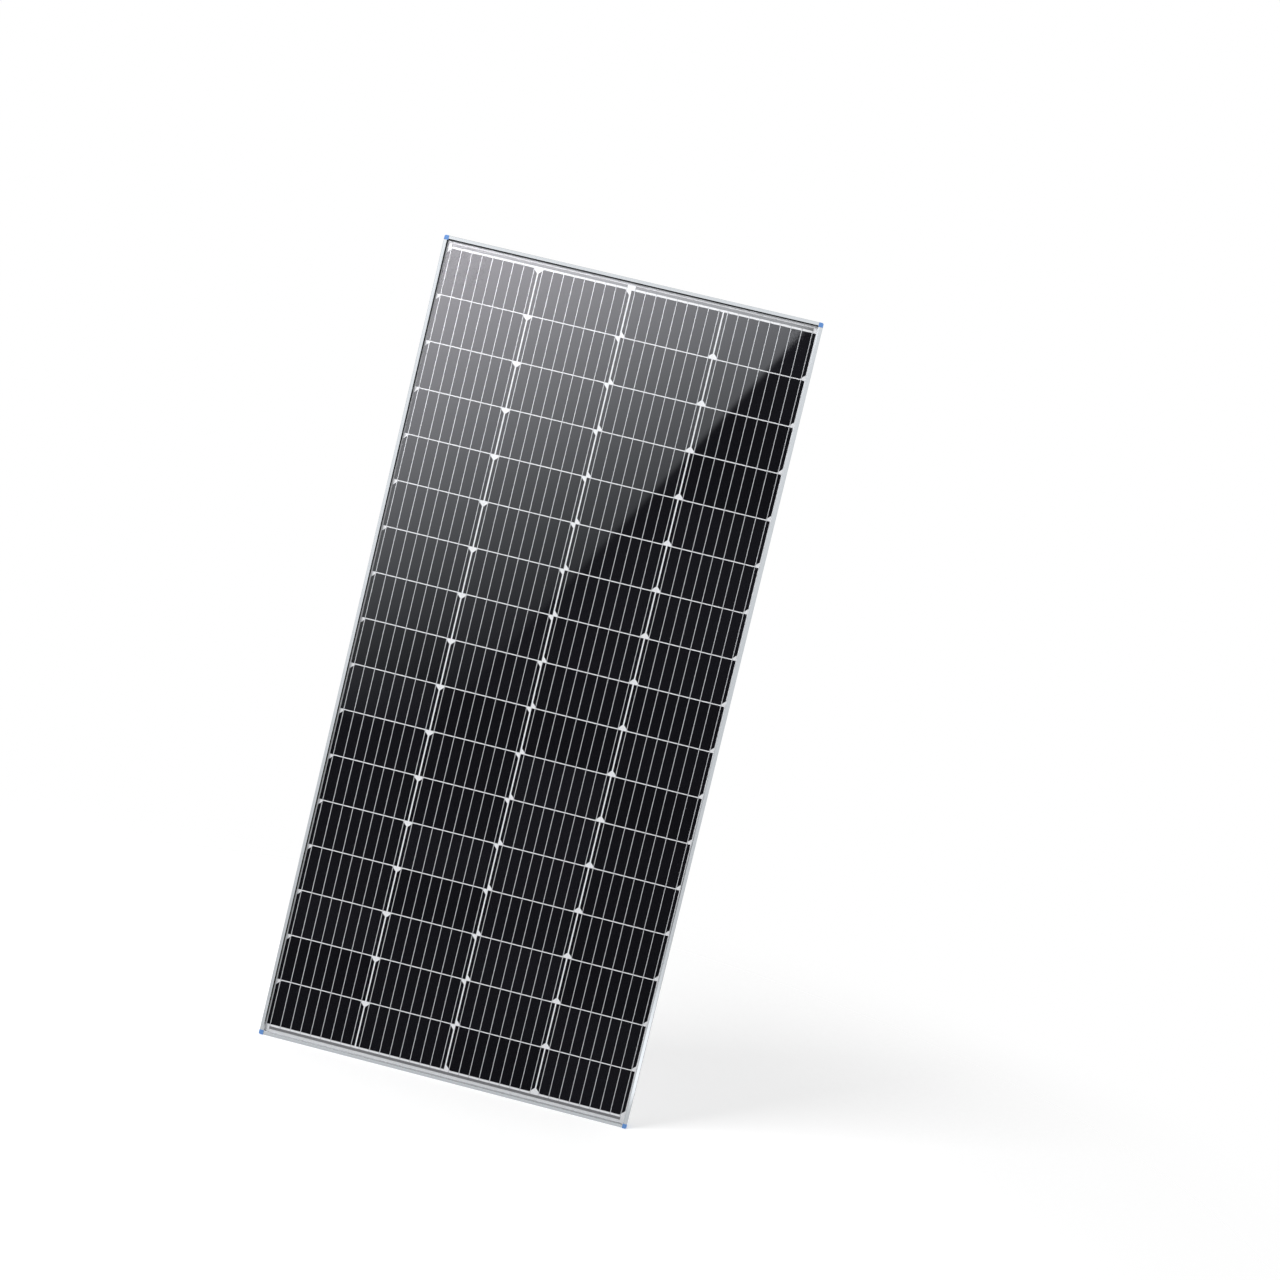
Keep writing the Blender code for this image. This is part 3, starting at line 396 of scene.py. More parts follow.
def ribbon_finish(colours):
    """Solder-coated copper, bonded behind glass: frosty and pale over the cells, grey on the bus."""
    material, tree, place = new_finish("solder-coated copper ribbon")
    height = add_node(tree, "ShaderNodeSeparateXYZ", {"Vector": place}).outputs["Z"]
    far = calculate(tree, "ABSOLUTE", height)
    bus = calculate(tree, "GREATER_THAN", far, BUS_EDGE)
    noise = add_node(
        tree, "ShaderNodeTexNoise", {"Vector": place, "Scale": 160.0, "Detail": 2.0}
    ).outputs["Fac"]
    wire = mix_colours(tree, noise, shade(colours.ribbon, 0.9), colours.ribbon)
    tint = mix_colours(tree, bus, wire, shade(colours.ribbon, 0.33))
    gloss = map_range(tree, noise, target=(0.03, 0.06))
    mirror = calculate(tree, "MULTIPLY_ADD", bus, -0.5, 1.0)
    shader = add_node(
        tree, "ShaderNodeBsdfPrincipled",
        {"Base Color": tint, "Roughness": gloss, "Specular IOR Level": mirror},
    )
    add_node(tree, "ShaderNodeOutputMaterial", {"Surface": shader.outputs[0]})
    return material


def clear_finish(name, tint, gloss):
    """A clear layer: what is behind it shows, and a gloss grows towards grazing views.

    The gloss share is half of (1 - cosine)^5, on both faces of the pane. What it reflects when seen
    square on is carried by the cells.
    """
    material, tree, place = new_finish(name)
    surface = add_node(tree, "ShaderNodeBsdfTransparent", {"Color": tint}).outputs[0]
    if gloss:
        facing = add_node(tree, "ShaderNodeLayerWeight", {"Blend": 0.5}).outputs["Facing"]
        edge = calculate(tree, "POWER", facing, 5.0)
        share = calculate(tree, "MULTIPLY", edge, 0.5)
        grain = add_node(
            tree, "ShaderNodeTexNoise", {"Vector": place, "Scale": 700.0}
        ).outputs["Fac"]
        rough = map_range(tree, grain, target=(0.03, 0.07))
        shine = add_node(tree, "ShaderNodeBsdfGlossy", {"Roughness": rough}).outputs[0]
        surface = add_node(
            tree, "ShaderNodeMixShader", {0: share, 1: surface, 2: shine}
        ).outputs[0]
    add_node(tree, "ShaderNodeOutputMaterial", {"Surface": surface})
    return material


def seen_rays(tree):
    """1 on rays of the camera, a reflection or glass, which see the background, and 0 on others."""
    path = add_node(tree, "ShaderNodeLightPath").outputs
    seen = path["Is Camera Ray"]
    for kind in ("Is Glossy Ray", "Is Transmission Ray"):
        seen = calculate(tree, "MAXIMUM", seen, path[kind])
    return seen


def dress(material, *names):
    """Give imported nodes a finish."""
    for name in names:
        data = frame["nodes"][name].data
        data.materials.clear()
        data.materials.append(material)


def add_piece(name, rings, material, body, slot, replaced=(), closed=False, sharp=35):
    """A piece from an array of rings, of shape (rings, points, 3).

    Quads join each ring to the next. The ends get flat caps, or the last ring joins the first.
    """
    count, around = rings.shape[:2]
    index = np.arange(count * around).reshape(count, around)
    low = index if closed else index[:-1]
    high = np.roll(index, -1, axis=0) if closed else index[1:]
    quads = np.stack((low, np.roll(low, -1, 1), np.roll(high, -1, 1), high), axis=-1)
    faces = quads.reshape(-1, 4).tolist()
    if not closed:
        faces += [index[0, ::-1].tolist(), index[-1].tolist()]
    mesh = bpy.data.meshes.new(name)
    mesh.from_pydata(rings.reshape(-1, 3).tolist(), [], faces)
    shape = bmesh.new()
    shape.from_mesh(mesh)
    bmesh.ops.remove_doubles(shape, verts=shape.verts, dist=1e-7)
    bmesh.ops.recalc_face_normals(shape, faces=shape.faces)
    shape.to_mesh(mesh)
    shape.free()
    mesh.shade_smooth()
    mesh.set_sharp_from_angle(angle=math.radians(sharp))
    mesh.materials.append(material)
    piece = bpy.data.objects.new(name, mesh)
    bpy.context.scene.collection.objects.link(piece)
    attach(piece, body)
    if replaced:
        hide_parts(*replaced)
    return piece


def turned_rings(profile, sides=96, lobes=0, depth=0.0):
    """Rings about local Z: radius r - k depth (1 - cos(lobes a)) / 2 at each angle a.

    The profile has rows of (r, z, k), and k says how far a ring takes part in the lobes.
    """
    r, z, k = np.array(profile, float).T[:, :, None]
    a = np.linspace(0, 2 * math.pi, sides, endpoint=False)
    radius = r - k * depth * (1 - np.cos(lobes * a)) / 2
    return np.stack((radius * np.cos(a), radius * np.sin(a), z + 0 * a), axis=-1)


def place_rings(rings, centre, tilt=0.0):
    """Turn rings about Y by the tilt and move them from the box centre."""
    c, s = math.cos(tilt), math.sin(tilt)
    turn = np.array(((c, 0, s), (0, 1, 0), (-s, 0, c)))
    return rings @ turn.T + BOX_CENTRE + np.array(centre)


def smooth_step(t):
    """0 below 0, 1 above 1 and 3 t^2 - 2 t^3 between."""
    t = np.clip(t, 0, 1)
    return t * t * (3 - 2 * t)


def strip_rings(path, width, thick):
    """A flat strip: a rectangle of width along x and thickness along the path's normal.

    The path has rows of (depth, z). Its normal is its direction turned by a quarter.
    """
    ahead = np.gradient(path, axis=0)
    ahead /= np.linalg.norm(ahead, axis=1, keepdims=True)
    normal = np.stack((ahead[:, 1], -ahead[:, 0]), axis=1)
    corners = np.array(((-1, -1), (1, -1), (1, 1), (-1, 1))) / 2
    x = np.broadcast_to(corners[:, 0] * width, (len(path), 4))
    flat = path[:, None] + normal[:, None] * (corners[:, 1] * thick)[None, :, None]
    return np.stack((x, flat[..., 0], flat[..., 1]), axis=-1)


def dome_rings(half_x, half_z, height, power, around=48, steps=8):
    """A low mound: superellipse rings shrink by cos(t)^(2 / power) as height grows by sin(t)."""
    a = np.linspace(0, 2 * math.pi, around, endpoint=False)
    x = np.sign(np.cos(a)) * np.abs(np.cos(a)) ** (2 / power)
    z = np.sign(np.sin(a)) * np.abs(np.sin(a)) ** (2 / power)
    t = np.linspace(0, 0.48 * math.pi, steps)[:, None]
    shrink = np.cos(t) ** (2 / power)
    return np.stack((half_x * x * shrink, height * np.sin(t) + 0 * a, half_z * z * shrink), axis=-1)


def lead_points(side, layer, nut):
    """Points of one lead from its terminal through the gland and the loop into its connector."""
    loop_y = LEAD_LOW + layer
    run = [(side * x, GLAND_DEPTH, z) for x, z in LEAD_START]
    drop = len(GLAND_RUN) + 1
    for i, (x, z) in enumerate(GLAND_RUN, 1):
        run.append((side * x, GLAND_DEPTH + (loop_y - GLAND_DEPTH) * i / drop, z))
    run += [(side * x, loop_y, z) for x, z in LOOP_RUN]
    run += [(-side * x, loop_y, z) for x, z in reversed(LOOP_RUN[1:])]
    rise = len(PLUG_RUN) + 1
    for i, (x, z) in enumerate(PLUG_RUN, 1):
        run.append((-side * x, loop_y + (CONNECTOR_DEPTH - loop_y) * i / rise, z))
    end = np.array((-side * CONNECTOR_END[0], CONNECTOR_DEPTH, CONNECTOR_END[1]))
    axis = np.array((side * math.sin(CONNECTOR_TILT), 0, math.cos(CONNECTOR_TILT)))
    inside = nut - STUB_REACH
    run += [end - LEAD_RUN_IN * axis, end + inside / 2 * axis, end + inside * axis]
    return np.array(run) + BOX_CENTRE


class SOLAR_OT_frame(bpy.types.Operator):
    """Finish the rails, the corner keys and the corner caps"""

    bl_idname = "solar_panel.frame"
    bl_label = "Finish Frame"

    def execute(self, context):
        colours = context.scene.solar_colours
        # Clear-anodised extrusion: satin, with faint drawing lines along each rail
        for axis, grain, names in (
            ("Z", (1.5, 1.5, 180.0), RAILS[:2]),
            ("X", (180.0, 1.5, 1.5), RAILS[2:]),
        ):
            rail = grained_finish(
                "anodised aluminium drawn along " + axis, shade(colours.rail, 0.96), colours.rail,
                (0.18, 0.25), grain, 0.0012, metallic=1.0,
            )
            dress(rail, *names)
        # Mill-finish aluminium: greyer and rougher than the rails
        key = grained_finish(
            "mill aluminium", linear("a9acae"), linear("bcbfc1"), (0.45, 0.6), (2, 2, 2), 0.01, 1.0
        )
        dress(key, *(f"corner_key_{mark}" for mark in CORNERS))
        # Moulded polypropylene: even colour, soft gloss with a slight orange peel
        cap = grained_finish(
            "moulded polypropylene", shade(colours.cap, 0.93), colours.cap, (0.38, 0.48), (1, 1, 1),
            0.01,
        )
        dress(cap, *(f"corner_cap_{mark}" for mark in CORNERS))
        return {"FINISHED"}


class SOLAR_OT_laminate(bpy.types.Operator):
    """Finish the glass, the films, the cells with their ribbons, the backsheet and the seal"""

    bl_idname = "solar_panel.laminate"
    bl_label = "Finish Laminate"

    def execute(self, context):
        colours, sizes = context.scene.solar_colours, context.scene.solar_sizes
        dress(clear_finish("tempered solar glass", linear("fefefe"), True), "front_glass")
        dress(clear_finish("clear encapsulant", linear("fefefe"), False), "front_encapsulant")
        # Clear layers let all light in and out, and only the camera sees them
        for name in ("front_glass", "front_encapsulant"):
            layer = frame["nodes"][name]
            layer.visible_diffuse = False
            layer.visible_glossy = False
            layer.visible_shadow = False
        dress(cell_finish(colours, sizes), "cell_sheet")
        dress(ribbon_finish(colours), "ribbons_left", "ribbons_right", "bus_bottom")
        # Polymer film: satin white with a slight emboss from the laminator's mat
        film = grained_finish(
            "embossed polymer film", shade(colours.sheet, 0.975), colours.sheet, (0.45, 0.55),
            (2.5, 2.5, 2.5), 0.015,
        )
        dress(film, "backsheet")
        # Cured silicone: dull pale grey, lightly uneven
        silicone = grained_finish(
            "cured silicone", linear("c9cbcd"), linear("d9dbdc"), (0.5, 0.65), (3, 3, 3), 0.05
        )
        dress(silicone, "edge_seal", "box_pad")
        return {"FINISHED"}


class SOLAR_OT_junction_box(bpy.types.Operator):
    """Finish the junction box and what is seen in it, and make the gland nuts with fine ribs"""

    bl_idname = "solar_panel.junction_box"
    bl_label = "Finish Junction Box"

    def execute(self, context):
        colours = context.scene.solar_colours
        # Moulded polyphenylene: black, with a fine spark-eroded mat drawn at 0.6 mm
        shell = grained_finish(
            "spark-eroded black moulding", shade(colours.box, 0.85), shade(colours.box, 1.1),
            (0.46, 0.58), (0.6, 0.6, 0.6), 0.02, specular=0.25,
        )
        dress(shell, "box_base", "box_lid")
        # Black rubber: dull, nearly even
        rubber = grained_finish(
            "black rubber", linear("131314"), linear("1b1b1c"), (0.65, 0.8), (1, 1, 1), 0.01
        )
        dress(rubber, "box_gasket", "gland_seal_left", "gland_seal_right", "plug_seal")
        # Tinned copper plate: warm grey with roller marks along its length
        plate = grained_finish(
            "tinned copper plate", linear("b4afa9"), linear("c2bdb7"), (0.25, 0.36), (0.4, 2, 8),
            0.002, 1.0,
        )
        dress(plate, "terminal_1", "terminal_2", "terminal_3", "plug_pin", "socket_contact")
        for mark, side in (("left", 1), ("right", -1)):
            low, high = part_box("gland_nut_" + mark)
            outer = (high.x - low.x) / 2
            start, end = low.z - BOX_CENTRE[2], high.z - BOX_CENTRE[2]
            profile = (
                (LEAD_BORE, start, 0), (outer - 0.0013, start, 0.3),
                (outer - 0.0004, start + 0.0004, 1), (outer, start + 0.0012, 1),
                (outer, end - 0.0016, 1), (outer, end - 0.0010, 0), (outer, end, 0),
                (GLAND_THREAD, end, 0), (GLAND_THREAD, start + GLAND_END, 0),
                (LEAD_BORE, start + GLAND_END, 0),
            )
            rings = turned_rings(profile, 8 * GLAND_RIBS, GLAND_RIBS, GLAND_RIB_DEPTH)
            rings = place_rings(rings, (side * GLAND_X, GLAND_DEPTH, 0))
            name = "gland_nut_" + mark
            add_piece(name + "_ribbed", rings, shell, name, "box_plastic", (name,), closed=True)
        return {"FINISHED"}


class SOLAR_OT_box_wiring(bpy.types.Operator):
    """Make the diodes, the bus tabs with their solder, the potting and the lead ferrules"""

    bl_idname = "solar_panel.box_wiring"
    bl_label = "Wire Junction Box"

    def execute(self, context):
        sizes = context.scene.solar_sizes
        # Moulded epoxy: black with a slight gloss
        epoxy = grained_finish(
            "moulded epoxy", linear("141416"), linear("1d1d20"), (0.3, 0.4), (0.8, 0.8, 0.8), 0.01
        )
        # Solder: bright grey, softly rippled where it froze
        solder = grained_finish(
            "frozen solder", linear("b4b6b9"), linear("cdcfd2"), (0.22, 0.38), (1.2, 1.2, 1.2),
            0.06, 1.0,
        )
        # Potting: milky silicone
        potting = grained_finish(
            "milky potting silicone", linear("c4c6c4"), linear("d8dad8"), (0.25, 0.4), (5, 5, 5), 0.1
        )
        for i, side in enumerate((-1, 1), 1):
            self.add_diode(i, side * GLAND_X / 2, epoxy, solder)
        for i in range(3):
            self.add_tab(i + 1, (i - 1) * GLAND_X, sizes, solder)
        mound = place_rings(dome_rings(*POTTING, 5.0, 96), (0, FLOOR_TOP + 0.0001, POTTING_Z))
        add_piece("bay_potting", mound, potting, "panel", "silicone")
        for mark, side in (("left", 1), ("right", -1)):
            self.add_ferrule(mark, side * GLAND_X, solder)
        return {"FINISHED"}

    def add_diode(self, number, x, epoxy, metal):
        """A turned body on a wire that steps down to its plates.

        The path's height is axis + (plate - axis) s(t), where t grows along each leg.
        """
        legs = np.linspace(LEG_END, LEG_START, 14)
        body = np.array(((DIODE_HALF, WIRE_RADIUS), (DIODE_HALF, 0.0023), (0.0058, DIODE_RADIUS)))
        along = np.concatenate((-legs, -body[:, 0], body[::-1, 0], legs[::-1]))
        thick = np.full(len(legs), WIRE_RADIUS)
        radius = np.concatenate((thick, body[:, 1], body[::-1, 1], thick))
        t = (np.abs(along) - BEND_START) / BEND_LENGTH
        axis, plate = PLATE_TOP + 0.0030, PLATE_TOP + 0.0007
        depth = axis + (plate - axis) * smooth_step(t)
        slope = np.where((t > 0) & (t < 1), 6 * t * (1 - t) / BEND_LENGTH, 0)
        rise = slope * (plate - axis) * np.sign(along)
        ahead = np.stack((np.ones_like(rise), rise), axis=1)
        ahead /= np.linalg.norm(ahead, axis=1, keepdims=True)
        a = np.linspace(0, 2 * math.pi, 32, endpoint=False)
        swing = radius[:, None] * np.cos(a)
        rings = np.stack(
            (
                along[:, None] - swing * ahead[:, 1:],
                depth[:, None] + swing * ahead[:, :1],
                radius[:, None] * np.sin(a),
            ),
            axis=-1,
        )
        rings = place_rings(rings, (x, 0, DIODE_Z))
        name = f"bypass_diode_{number}"
        piece = add_piece(name + "_bent", rings, epoxy, "panel", "diode", (name,))
        piece.data.materials.append(metal)
        mids = np.zeros(len(piece.data.polygons) * 3)
        piece.data.polygons.foreach_get("center", mids)
        on_leg = np.abs(mids[::3] - x - BOX_CENTRE[0]) > LEG_FACES
        piece.data.polygons.foreach_set("material_index", on_leg.astype(np.int32))
        for end in (-1, 1):
            dab = dome_rings(*LEG_DAB, 2.0, 24)
            dab = place_rings(dab, (x + end * LEG_DAB_X, PLATE_TOP, DIODE_Z))
            add_piece(f"diode_solder_{number}{'ab'[end > 0]}", dab, metal, "panel", "terminal")

    def add_tab(self, number, x, sizes, metal):
        """A ribbon that leaves the potting, arches over and lies on its plate.

        Its depth is start + (end - start) s(u) + arch sin(pi u)^2. Here u goes from 0 at the potting
        to 1 where the ribbon lands on the plate, and stays 1 from there on.
        """
        t = np.linspace(0, 1, 24)
        start, end = FLOOR_TOP + 0.0008, PLATE_TOP + sizes.tab_thickness
        u = t / TAB_LANDING
        arch = TAB_ARCH * np.sin(math.pi * np.clip(u, 0, 1)) ** 2
        depth = start + (end - start) * smooth_step(u) + arch
        path = np.stack((depth, TAB_Z - TAB_RUN * t), axis=1)
        rings = place_rings(strip_rings(path, sizes.tab_width, sizes.tab_thickness), (x, 0, 0))
        add_piece(f"bus_tab_{number}", rings, metal, "panel", "terminal", sharp=60)
        dab = place_rings(dome_rings(*TAB_DAB, 2.6), (x, PLATE_TOP, TAB_DAB_Z))
        add_piece(f"tab_solder_{number}", dab, metal, "panel", "terminal")

    def add_ferrule(self, mark, x, metal):
        """A crimped sleeve: round at the lead and pressed flat on the plate.

        Its half sizes and its height change by s(t) from one end to the other.
        """
        t = np.linspace(0, 1, 16)
        s = smooth_step((t - 0.35) / 0.45)
        a = np.linspace(0, 2 * math.pi, 40, endpoint=False)
        half_x = (FERRULE_RADIUS + FERRULE_SPREAD * s)[:, None]
        half_y = (FERRULE_RADIUS - FERRULE_PRESS * s)[:, None]
        depth = (GLAND_DEPTH + (PLATE_TOP + 0.0008 - GLAND_DEPTH) * s)[:, None]
        z = (FERRULE_Z + FERRULE_LENGTH * t)[:, None] + 0 * a
        rings = np.stack((half_x * np.cos(a), depth + half_y * np.sin(a), z), axis=-1)
        add_piece("ferrule_" + mark, place_rings(rings, (x, 0, 0)), metal, "panel", "terminal")


class SOLAR_OT_leads(bpy.types.Operator):
    """Lay both leads in their shared loop, from the box to the connectors"""

    bl_idname = "solar_panel.leads"
    bl_label = "Lay Leads"

    def execute(self, context):
        colours, sizes = context.scene.solar_colours, context.scene.solar_sizes
        # Cross-linked jacket: black, semi-matt, with the slight ripple of the extruder
        jacket = grained_finish(
            "cross-linked lead jacket", shade(colours.jacket, 0.85), shade(colours.jacket, 1.15),
            (0.30, 0.40), (1.5, 1.5, 1.5), 0.015, specular=0.35,
        )
        plug = (
            "plug_housing_turned", "plug_nut_ribbed", "plug_latch_a", "plug_latch_b", "plug_pin",
            "plug_seal",
        )
        socket = ("socket_housing_fluted", "socket_nut_ribbed", "socket_contact")
        for mark, side, layer, nut, pieces in (
            ("left", 1, 0.0, SOCKET_NUT, socket),
            ("right", -1, LEAD_LAYER, PLUG_NUT, plug),
        ):
            points = lead_points(side, layer, nut)
            lead = self.add_lead("lead_" + mark + "_jacket", points, sizes.lead_diameter, jacket)
            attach(lead, "panel")
            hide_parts("lead_" + mark)
        return {"FINISHED"}

    def add_lead(self, name, points, diameter, material):
        """A Bezier curve through the points.

        A point's handles reach a sixth of the chord between its two neighbours.
        """
        curve = bpy.data.curves.new(name, "CURVE")
        curve.dimensions = "3D"
        curve.bevel_depth = diameter / 2
        curve.bevel_resolution = 6
        curve.resolution_u = 10
        curve.use_fill_caps = True
        before, after = 2 * points[:1] - points[1:2], 2 * points[-1:] - points[-2:-1]
        padded = np.concatenate((before, points, after))
        reach = (padded[2:] - padded[:-2]) / 6
        spline = curve.splines.new("BEZIER")
        spline.bezier_points.add(len(points) - 1)
        spline.bezier_points.foreach_set("co", points.ravel())
        spline.bezier_points.foreach_set("handle_left", (points - reach).ravel())
        spline.bezier_points.foreach_set("handle_right", (points + reach).ravel())
        curve.materials.append(material)
        lead = bpy.data.objects.new(name, curve)
        bpy.context.scene.collection.objects.link(lead)
        return lead


class SOLAR_OT_connectors(bpy.types.Operator):
    """Make the plug and the socket with ribbed nuts, a fluted barrel and latch arms"""

    bl_idname = "solar_panel.connectors"
    bl_label = "Make Connectors"

    def execute(self, context):
        colours, sizes = context.scene.solar_colours, context.scene.solar_sizes
        # Glass-filled polycarbonate: black with a semi-gloss and a faint flow texture
        shell = grained_finish(
            "glass-filled polycarbonate", shade(colours.connector, 0.8), shade(colours.connector, 1.2),
            (0.16, 0.26), (0.7, 0.7, 1.4), 0.006, specular=0.45,
        )
        r = CONNECTOR_RADIUS
        for name, side, length in (("plug", 1, PLUG_NUT), ("socket", -1, SOCKET_NUT)):
            end = length - STUB_REACH
            nut = (
                (LEAD_BORE, 0, 0), (0.0045, 0, 0), (0.0052, 0.0005, 0), (r - 0.0009, 0.0058, 0.2),
                (r - 0.0001, 0.0075, 1), (r, 0.0085, 1), (r, length - 0.0016, 1),
                (r - 0.0001, length - 0.0008, 0.4), (r - 0.0006, length, 0), (NUT_THREAD, length, 0),
                (NUT_THREAD, end, 0), (LEAD_BORE, end, 0),
            )
            rings = turned_rings(nut, 8 * sizes.nut_ribs, sizes.nut_ribs, NUT_RIB_DEPTH)
            body = name + "_nut"
            self.add(body + "_ribbed", rings, side, shell, body, (body,), closed=True)

        back = PLUG_NUT + NUT_CLEAR
        face, tip = back + PLUG_BODY, back + PLUG_LENGTH
        plug = (
            *self.collar(back), (r - 0.0008, back + 0.0034, 0.5), (r - 0.0008, back + 0.0060, 1),
            (r - 0.0008, face - 0.0035, 1), (r - 0.0007, face - 0.0028, 0),
            (r - 0.0007, face - 0.0005, 0), (r - 0.0012, face, 0), (NOSE_RADIUS, face, 0),
            (NOSE_RADIUS, tip - 0.0004, 0), (0.0033, tip, 0), (NOSE_BORE, tip, 0),
            (NOSE_BORE, face - PLUG_BORE_DEPTH, 0),
        )
        rings = turned_rings(plug, 96, 8, 0.0010)
        self.add("plug_housing_turned", rings, 1, shell, "panel", ("plug_housing",))
        for mark, hand in (("a", 1), ("b", -1)):
            rings = self.latch_rings(face, hand)
            self.add("plug_latch_" + mark, rings, 1, shell, "panel", (), sharp=30)

        back = SOCKET_NUT + NUT_CLEAR
        tip = back + SOCKET_LENGTH
        barrel = (
            *self.collar(back), (r - 0.0006, back + 0.0034, 1), (r - 0.0006, tip - 0.0042, 1),
            (r - 0.0006, tip - 0.0034, 0), (r - 0.0006, tip - 0.0006, 0), (r - 0.0011, tip, 0),
            (0.0045, tip, 0), (SOCKET_BORE, tip - 0.0004, 0), (SOCKET_BORE, tip - SOCKET_MOUTH, 0),
        )
        rings = turned_rings(barrel, 120, 10, 0.0009)
        self.add("socket_housing_fluted", rings, -1, shell, "panel", ("socket_housing",))
        return {"FINISHED"}

    def collar(self, back):
        """Profile rows that both housings share: the stub in the nut, then a collar against it."""
        r = CONNECTOR_RADIUS
        return (
            (STUB_RADIUS, back - STUB_LENGTH, 0), (STUB_RADIUS, back, 0), (r - 0.0005, back, 0),
            (r, back + 0.0005, 0), (r, back + 0.0026, 0), (r - 0.0003, back + 0.0030, 0),
        )

    def add(self, name, rings, side, material, body, replaced, **options):
        """Place rings on one connector's axis."""
        centre = (side * CONNECTOR_END[0], CONNECTOR_DEPTH, CONNECTOR_END[1])
        placed = place_rings(rings, centre, -side * CONNECTOR_TILT)
        return add_piece(name, placed, material, body, "connector_plastic", replaced, **options)

    def latch_rings(self, face, hand):
        """A barbed arm: rectangles from inner x to outer x, carried up along z from the face."""
        arm = np.array((
            (LATCH_INNER, 0.0068, face - 0.0014), (LATCH_INNER, 0.0068, face + 0.0103),
            (LATCH_INNER, 0.0079, face + 0.0110), (LATCH_INNER, 0.0074, face + 0.0128),
            (LATCH_INNER, 0.0066, face + 0.0142), (0.0056, 0.0060, face + 0.0145),
        ))
        corners = np.array(((0, -1), (1, -1), (1, 1), (0, 1)))
        x = arm[:, :1] + (arm[:, 1:2] - arm[:, :1]) * corners[:, 0]
        width = np.broadcast_to(corners[:, 1] * LATCH_HALF, x.shape)
        return np.stack((hand * x, width, arm[:, 2:] + 0 * x), axis=-1)


